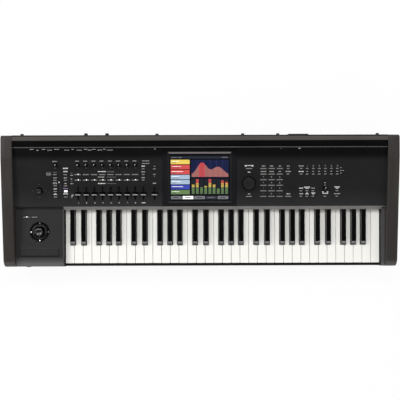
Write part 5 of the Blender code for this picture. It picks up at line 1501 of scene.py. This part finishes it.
@dataclass
class RearPanel(Assembly):
    """Sockets, inlet, power switch, bumpers and screws of the rear panel, and hardware of the underside."""

    face: float = 0.172
    socket_z: float = 0.055
    jacks: tuple[float, ...] = (-0.440, -0.400, -0.300, -0.244, -0.190, -0.150, -0.110, -0.070)
    din: tuple[float, ...] = (0.020, 0.060)
    usb_x: float = 0.120
    inlet_x: float = 0.2525
    switch_x: float = 0.2835
    module_x: float = 0.267
    lugs: tuple[float, ...] = (-0.476, -0.115, 0.114, 0.208, 0.474)
    lug_z: float = 0.095
    pin_radius: float = 0.0042
    blades: tuple[tuple[float, float], ...] = ((-0.007, -0.002), (0.007, -0.002), (0.0, 0.0025))
    label_z: tuple[float, float, float] = (0.013, 0.015, 0.0165)
    screw_rows: tuple[float, float] = (0.0125, 0.0985)
    screw_x: float = 0.455
    phones: tuple[float, float, float] = (-0.4705, -0.177, 0.045)
    bottom_screw_x: float = 0.46
    bottom_screw_rows: tuple[float, ...] = (-0.165, 0.0, 0.155)
    rib_x: float = 0.20
    rib_start: float = 0.055
    rib_pitch: float = 0.006

    def places(self, columns: tuple[float, ...], lift: float = 0.0) -> list[tuple[float, float, float]]:
        """Points of the rear face in the row of the sockets, or a lift above it."""
        return [(x, self.face, self.socket_z + lift) for x in columns]

    def tube(self, half_x: float, half_z: float, wall: float, inside: float, outside: float) -> Array:
        """Flat-sided sleeve as a looped skin: out along the outer wall, back along the inner one.

        Its corner radius is a little more than the wall, so that the inner corners don't cross.
        """
        outline = rounded(half_z, half_x, wall + 0.0004, 3)
        levels = np.array([[0, inside], [0, outside], [wall, outside], [wall, inside]])
        return stacked(outline, levels, Axis.Y)

    def sockets(self) -> Casting:
        """Ring nuts and barrels of the jacks, DIN inserts with five contacts, USB and mains sleeves."""
        work = Casting("rear_sockets", [NICKEL, BLACK_GLOSS_AND_SHADE, BRASS, INK_PALE], slot=Slot.REAR)
        places = self.places(self.jacks)
        nut = [(0.0069, -0.0004), (0.0069, 0.0009, 0.00012), (0.0064, 0.0017), (0.0043, 0.0017),
               (0.0036, 0.0013), (0.0031, 0.0002), (0.0031, -0.0030), (0.0046, -0.0030), (0.0046, -0.0004)]
        work.add(turned(nut, 72, Axis.Y, 24), places, ends=Ends.LOOPED)
        barrel = [(0.0046, -0.016), (0.0046, -0.0031), (0.0031, -0.0031), (0.0031, -0.0150)]
        work.add(turned(barrel, 32, Axis.Y), places, mark=1)
        places = self.places(self.din)
        collar = [(0.0108, -0.0004), (0.0108, 0.0010), (0.0102, 0.0017), (0.0080, 0.0017), (0.0074, 0.0010),
                  (0.0067, -0.0060), (0.0080, -0.0060), (0.0080, -0.0004)]
        work.add(turned(collar, 64, Axis.Y), places, ends=Ends.LOOPED)
        work.add(turned([(0.0070, -0.0090), (0.0070, -0.0045)], 48, Axis.Y), places, mark=1)
        pins = [(x + self.pin_radius * math.cos(a), self.face, self.socket_z - self.pin_radius * math.sin(a))
                for x in self.din for a in sweep(0, 180, 4)]
        work.add(turned([(0.0008, -0.0050), (0.0008, -0.0040), (0.0004, -0.0040), (0.0004, -0.0048)], 14,
                        Axis.Y), pins, mark=2)
        place = self.places((self.usb_x,))
        work.add(self.tube(0.0064, 0.0059, 0.0005, -0.012, 0.0003), place, ends=Ends.LOOPED)
        work.add(block((-0.0040, -0.012, -0.0016), (0.0040, -0.0015, 0.0016)), place, mark=1)
        place = self.places((self.inlet_x,))
        work.add(self.tube(0.0134, 0.0099, 0.0016, -0.016, 0.0010), place, mark=1, ends=Ends.LOOPED)
        work.add(block((-0.0125, -0.0165, -0.009), (0.0125, -0.0150, 0.009)), place, mark=1)
        module = self.tube(0.0275, 0.0125, 0.0016, -0.0003, 0.0085)
        work.add(module, self.places((self.module_x,)), mark=1, ends=Ends.LOOPED)
        blades = [(self.inlet_x + x, self.face, self.socket_z + z) for x, z in self.blades]
        work.add(block((-0.001, -0.0155, -0.002), (0.001, -0.0025, 0.002)), blades)
        label = block((-0.006, -0.0001, -0.0008), (0.006, 0.00005, 0.0008))
        for columns, lift in zip((self.jacks + (self.usb_x,), self.din, (self.inlet_x,)), self.label_z):
            work.add(label, self.places(columns, lift), mark=3)
        return work

    def hardware(self) -> Casting:
        """Bumpers over the lugs, and two rows of screws with crossed slots painted black as painted shade."""
        work = Casting("rear_hardware", [RUBBER, NICKEL, BLACK_GLOSS_AND_SHADE], slot=Slot.REAR)
        bumper = [(0.0045, -0.0002), (0.0045, 0.0058), (0.0040, 0.0068), (0.0030, 0.0073), (0.0010, 0.0073)]
        work.add(turned(bumper, 32, Axis.Y), [(x, self.face, self.lug_z) for x in self.lugs])
        columns = np.linspace(-self.screw_x, self.screw_x, 9)
        heads = [(x, self.face, z) for z in self.screw_rows for x in columns]
        work.add(turned([(0.0030, -0.0002), (0.0029, 0.0006), (0.0022, 0.0012), (0.0008, 0.0014)], 24, Axis.Y),
                 heads, mark=1)
        # Painted shade: black bars stand in for the slots.
        for x, z in ((0.0016, 0.0003), (0.0003, 0.0016)):
            work.add(block((-x, 0.0010, -z), (x, 0.00145, z)), heads, mark=2)
        return work

    def rocker(self) -> Casting:
        """Power switch: a rocker with generic on and off marks.

        Its face is hollow: 0.4 of the depth by one plus the square of the way from the middle.
        """
        name = "power_switch"
        rocker = Casting(f"{name}_rocker", [BLACK_GLOSS_AND_SHADE, INK_BRIGHT], name, Slot.REAR, (name,))
        half, deep, width = 0.006, 0.003, 0.0095
        angle = np.linspace(-1, 1, 13)
        hollow = np.stack([0.4 * deep * (1 + angle ** 2), half * angle], 1)
        section = np.concatenate([[(-deep, -half)], hollow, [(-deep, half)]])
        matrix = np.eye(4)
        tilt = math.radians(-8)
        matrix[1:3, 1:3] = [[math.cos(tilt), -math.sin(tilt)], [math.sin(tilt), math.cos(tilt)]]
        matrix[:3, 3] = (self.switch_x, self.face - 0.0015, self.socket_z)
        rocker.add(beam(section, -width, width), matrix=matrix)
        rocker.add(block((-0.0004, 0.0014, 0.0020), (0.0004, 0.0019, 0.0042)), matrix=matrix, mark=1)
        ring = turned([(0.0013, 0.0014), (0.0013, 0.0018), (0.0008, 0.0018), (0.0008, 0.0014)], 24, Axis.Y)
        rocker.add(ring, [(0, 0, -0.0031)], matrix, mark=1, ends=Ends.LOOPED)
        return rocker

    def underside(self) -> Casting:
        """Screws and raised ventilation ribs on the bottom, and the collar of the headphone socket."""
        work = Casting("bottom_hardware", [NICKEL, CASE_GRAIN], slot=Slot.CASE)
        head = turned([(0.0008, 0.0046), (0.0022, 0.0048), (0.0029, 0.0054), (0.0030, 0.0062)], 24)
        columns = np.linspace(-self.bottom_screw_x, self.bottom_screw_x, 7)
        work.add(head, [(x, y, 0) for x in columns for y in self.bottom_screw_rows])
        rib = block((-0.040, -0.0009, 0.0052), (0.040, 0.0009, 0.0062))
        rows = LAYOUT.columns(self.rib_start, self.rib_pitch, 11)
        work.add(rib, [(x, y, 0) for x in (self.rib_x, -self.rib_x) for y in rows], mark=1)
        collar = turned([(0.0064, -0.0030), (0.0078, -0.0030), (0.0078, 0.0006), (0.0064, 0.0006)], 40, Axis.Y)
        work.add(collar, self.phones, ends=Ends.LOOPED)
        return work

    def build(self) -> list[Casting]:
        """Castings of the rear panel and of the underside."""
        return [self.sockets(), self.hardware(), self.rocker(), self.underside()]


@dataclass
class CadFinishes:
    """Finishes of the CAD solids that stay in view."""

    finishes: tuple[tuple[str, Finish], ...] = (
        ("bottom_case", CASE_GRAIN), ("keybed_chassis", CHASSIS_ZINC), ("top_panel", PANEL_PAINT_AND_LIGHT),
        ("jack_panel", REAR_PAINT), ("controller_block", BLOCK_GRAIN_AND_LIGHT), ("display_bezel", BEZEL_GLOSS_AND_SHADE),
        ("touch_screen", GLASS_BACK), ("panel_board", BOARD_MASK_AND_SHADE), ("main_board", BOARD_MASK_AND_SHADE),
        ("joystick_gimbal", GIMBAL_DARK), ("vector_gimbal", GIMBAL_DARK))

    def dress(self) -> None:
        """Give each kept CAD node its finish."""
        for name, finish in self.finishes:
            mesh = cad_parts[name].data
            mesh.materials.clear()
            mesh.materials.append(finish.material())
            LOG.info("%s keeps its CAD shape with %s", name, finish.name)


@dataclass
class Studio:
    """Floor, lamps, world and the camera above the instrument."""

    eye: tuple[float, float, float] = (-0.0005, 0.0014, 2.021)
    lens: float = 64.8
    roll: float = -0.16
    ambient: float = 0.56
    aim: tuple[float, float, float] = (0, 0, 0.08)
    floor_half: float = 12
    floor_z: float = -0.0003
    floor_tone: tuple[float, float, float, float] = (0.86, 0.86, 0.86, 1.0)
    floor_glow: float = 0.93
    lamps: tuple[tuple[str, tuple[float, float, float], tuple[float, float], float], ...] = (
        ("front_box", (0.0, -2.6, 0.95), (3.4, 0.5), 26.0), ("key_box", (0.0, 1.4, 2.3), (0.9, 0.6), 26.0),
        ("left_box", (-2.2, 0.8, 1.9), (1.0, 1.0), 30.0), ("right_box", (2.4, 0.2, 1.8), (1.2, 1.2), 6.0))

    def rays(self, tree: bpy.types.NodeTree) -> list[Wire]:
        """Camera, glossy and transmission rays, each one or zero."""
        return [add_node(tree, "ShaderNodeLightPath", output=f"Is {name} Ray")
                for name in ("Camera", "Glossy", "Transmission")]

    def floor(self) -> None:
        """A pale floor that glows for the camera and for gloss, so that it reads white but keeps the shadow."""
        mesh = bpy.data.meshes.new("floor")
        far, low = self.floor_half, self.floor_z
        corners = [(-far, -far, low), (far, -far, low), (far, far, low), (-far, far, low)]
        mesh.from_pydata(corners, [], [(0, 1, 2, 3)])
        floor = bpy.data.objects.new("floor", mesh)
        bpy.context.scene.collection.objects.link(floor)
        made = bpy.data.materials.new("floor_paper")
        made.use_nodes = True
        tree = made.node_tree
        shader = tree.nodes["Principled BSDF"]
        shader.inputs["Base Color"].default_value = self.floor_tone
        shader.inputs["Roughness"].default_value = 0.9
        shader.inputs["Specular IOR Level"].default_value = 0.0
        camera, gloss, through = self.rays(tree)
        seen = camera.either(gloss).either(through)
        glow = add_node(tree, "ShaderNodeEmission", inputs={"Strength": 1.0})
        plain = Wire(tree, shader.outputs[0])
        mixed = add_node(tree, "ShaderNodeMixShader", inputs={0: seen * self.floor_glow, 1: plain, 2: glow})
        tree.links.new(mixed.socket, tree.nodes["Material Output"].inputs["Surface"])
        mesh.materials.append(made)

    def world(self) -> None:
        """Even ambient light, white where the camera and glass look out.

        Gloss sees it white at the horizon and dark overhead: 0.03 plus 0.8 by the square of one less
        the height of the direction.
        """
        world = bpy.data.worlds.new("studio")
        bpy.context.scene.world = world
        world.use_nodes = True
        tree = world.node_tree
        tree.nodes.clear()
        camera, gloss, through = self.rays(tree)
        seen = camera.either(through)
        sky = add_node(tree, "ShaderNodeTexCoord", output="Generated")
        down = 1 - add_node(tree, "ShaderNodeSeparateXYZ", inputs={0: sky}, output=2)
        strength = self.ambient + seen * (1 - self.ambient) + gloss * (0.03 + 0.8 * down * down - self.ambient)
        back = add_node(tree, "ShaderNodeBackground", inputs={"Color": (1, 1, 1, 1), "Strength": strength})
        out = tree.nodes.new("ShaderNodeOutputWorld")
        tree.links.new(back.socket, out.inputs["Surface"])

    def lamp(self, name: str, place: tuple[float, float, float], size: tuple[float, float],
             power: float) -> None:
        """A soft box aimed at the middle of the instrument.

        Args:
            name: the lamp's name.
            place: where it hangs.
            size: its width and height.
            power: in watts.
        """
        light = bpy.data.lights.new(name, "AREA")
        light.shape = "RECTANGLE"
        light.size, light.size_y = size
        light.energy = power
        lamp = bpy.data.objects.new(name, light)
        lamp.location = place
        aim = Vector(self.aim) - lamp.location
        lamp.rotation_euler = aim.to_track_quat("-Z", "Y").to_euler()
        bpy.context.scene.collection.objects.link(lamp)

    def build(self) -> None:
        """Make the floor, the world, four soft boxes and the camera."""
        self.floor()
        self.world()
        for lamp in self.lamps:
            self.lamp(*lamp)
        data = bpy.data.cameras.new("camera")
        data.lens = self.lens
        camera = bpy.data.objects.new("camera", data)
        camera.location = self.eye
        camera.rotation_euler = (0.0, 0.0, math.radians(self.roll))
        bpy.context.scene.collection.objects.link(camera)
        bpy.context.scene.camera = camera
        bpy.context.scene.view_settings.view_transform = "Standard"


def main() -> None:
    """Build the studio, dress the CAD solids and make every sub-assembly in order."""
    logging.basicConfig(level=logging.INFO, format="%(name)s: %(message)s")
    Studio().build()
    CadFinishes().dress()
    for assembly in (Keybed(), Sliders(), Knobs(), Buttons(), Sticks(), Legends(), Display(), Shell(),
                     RearPanel()):
        assembly.dress()


if __name__ == "__main__":
    main()
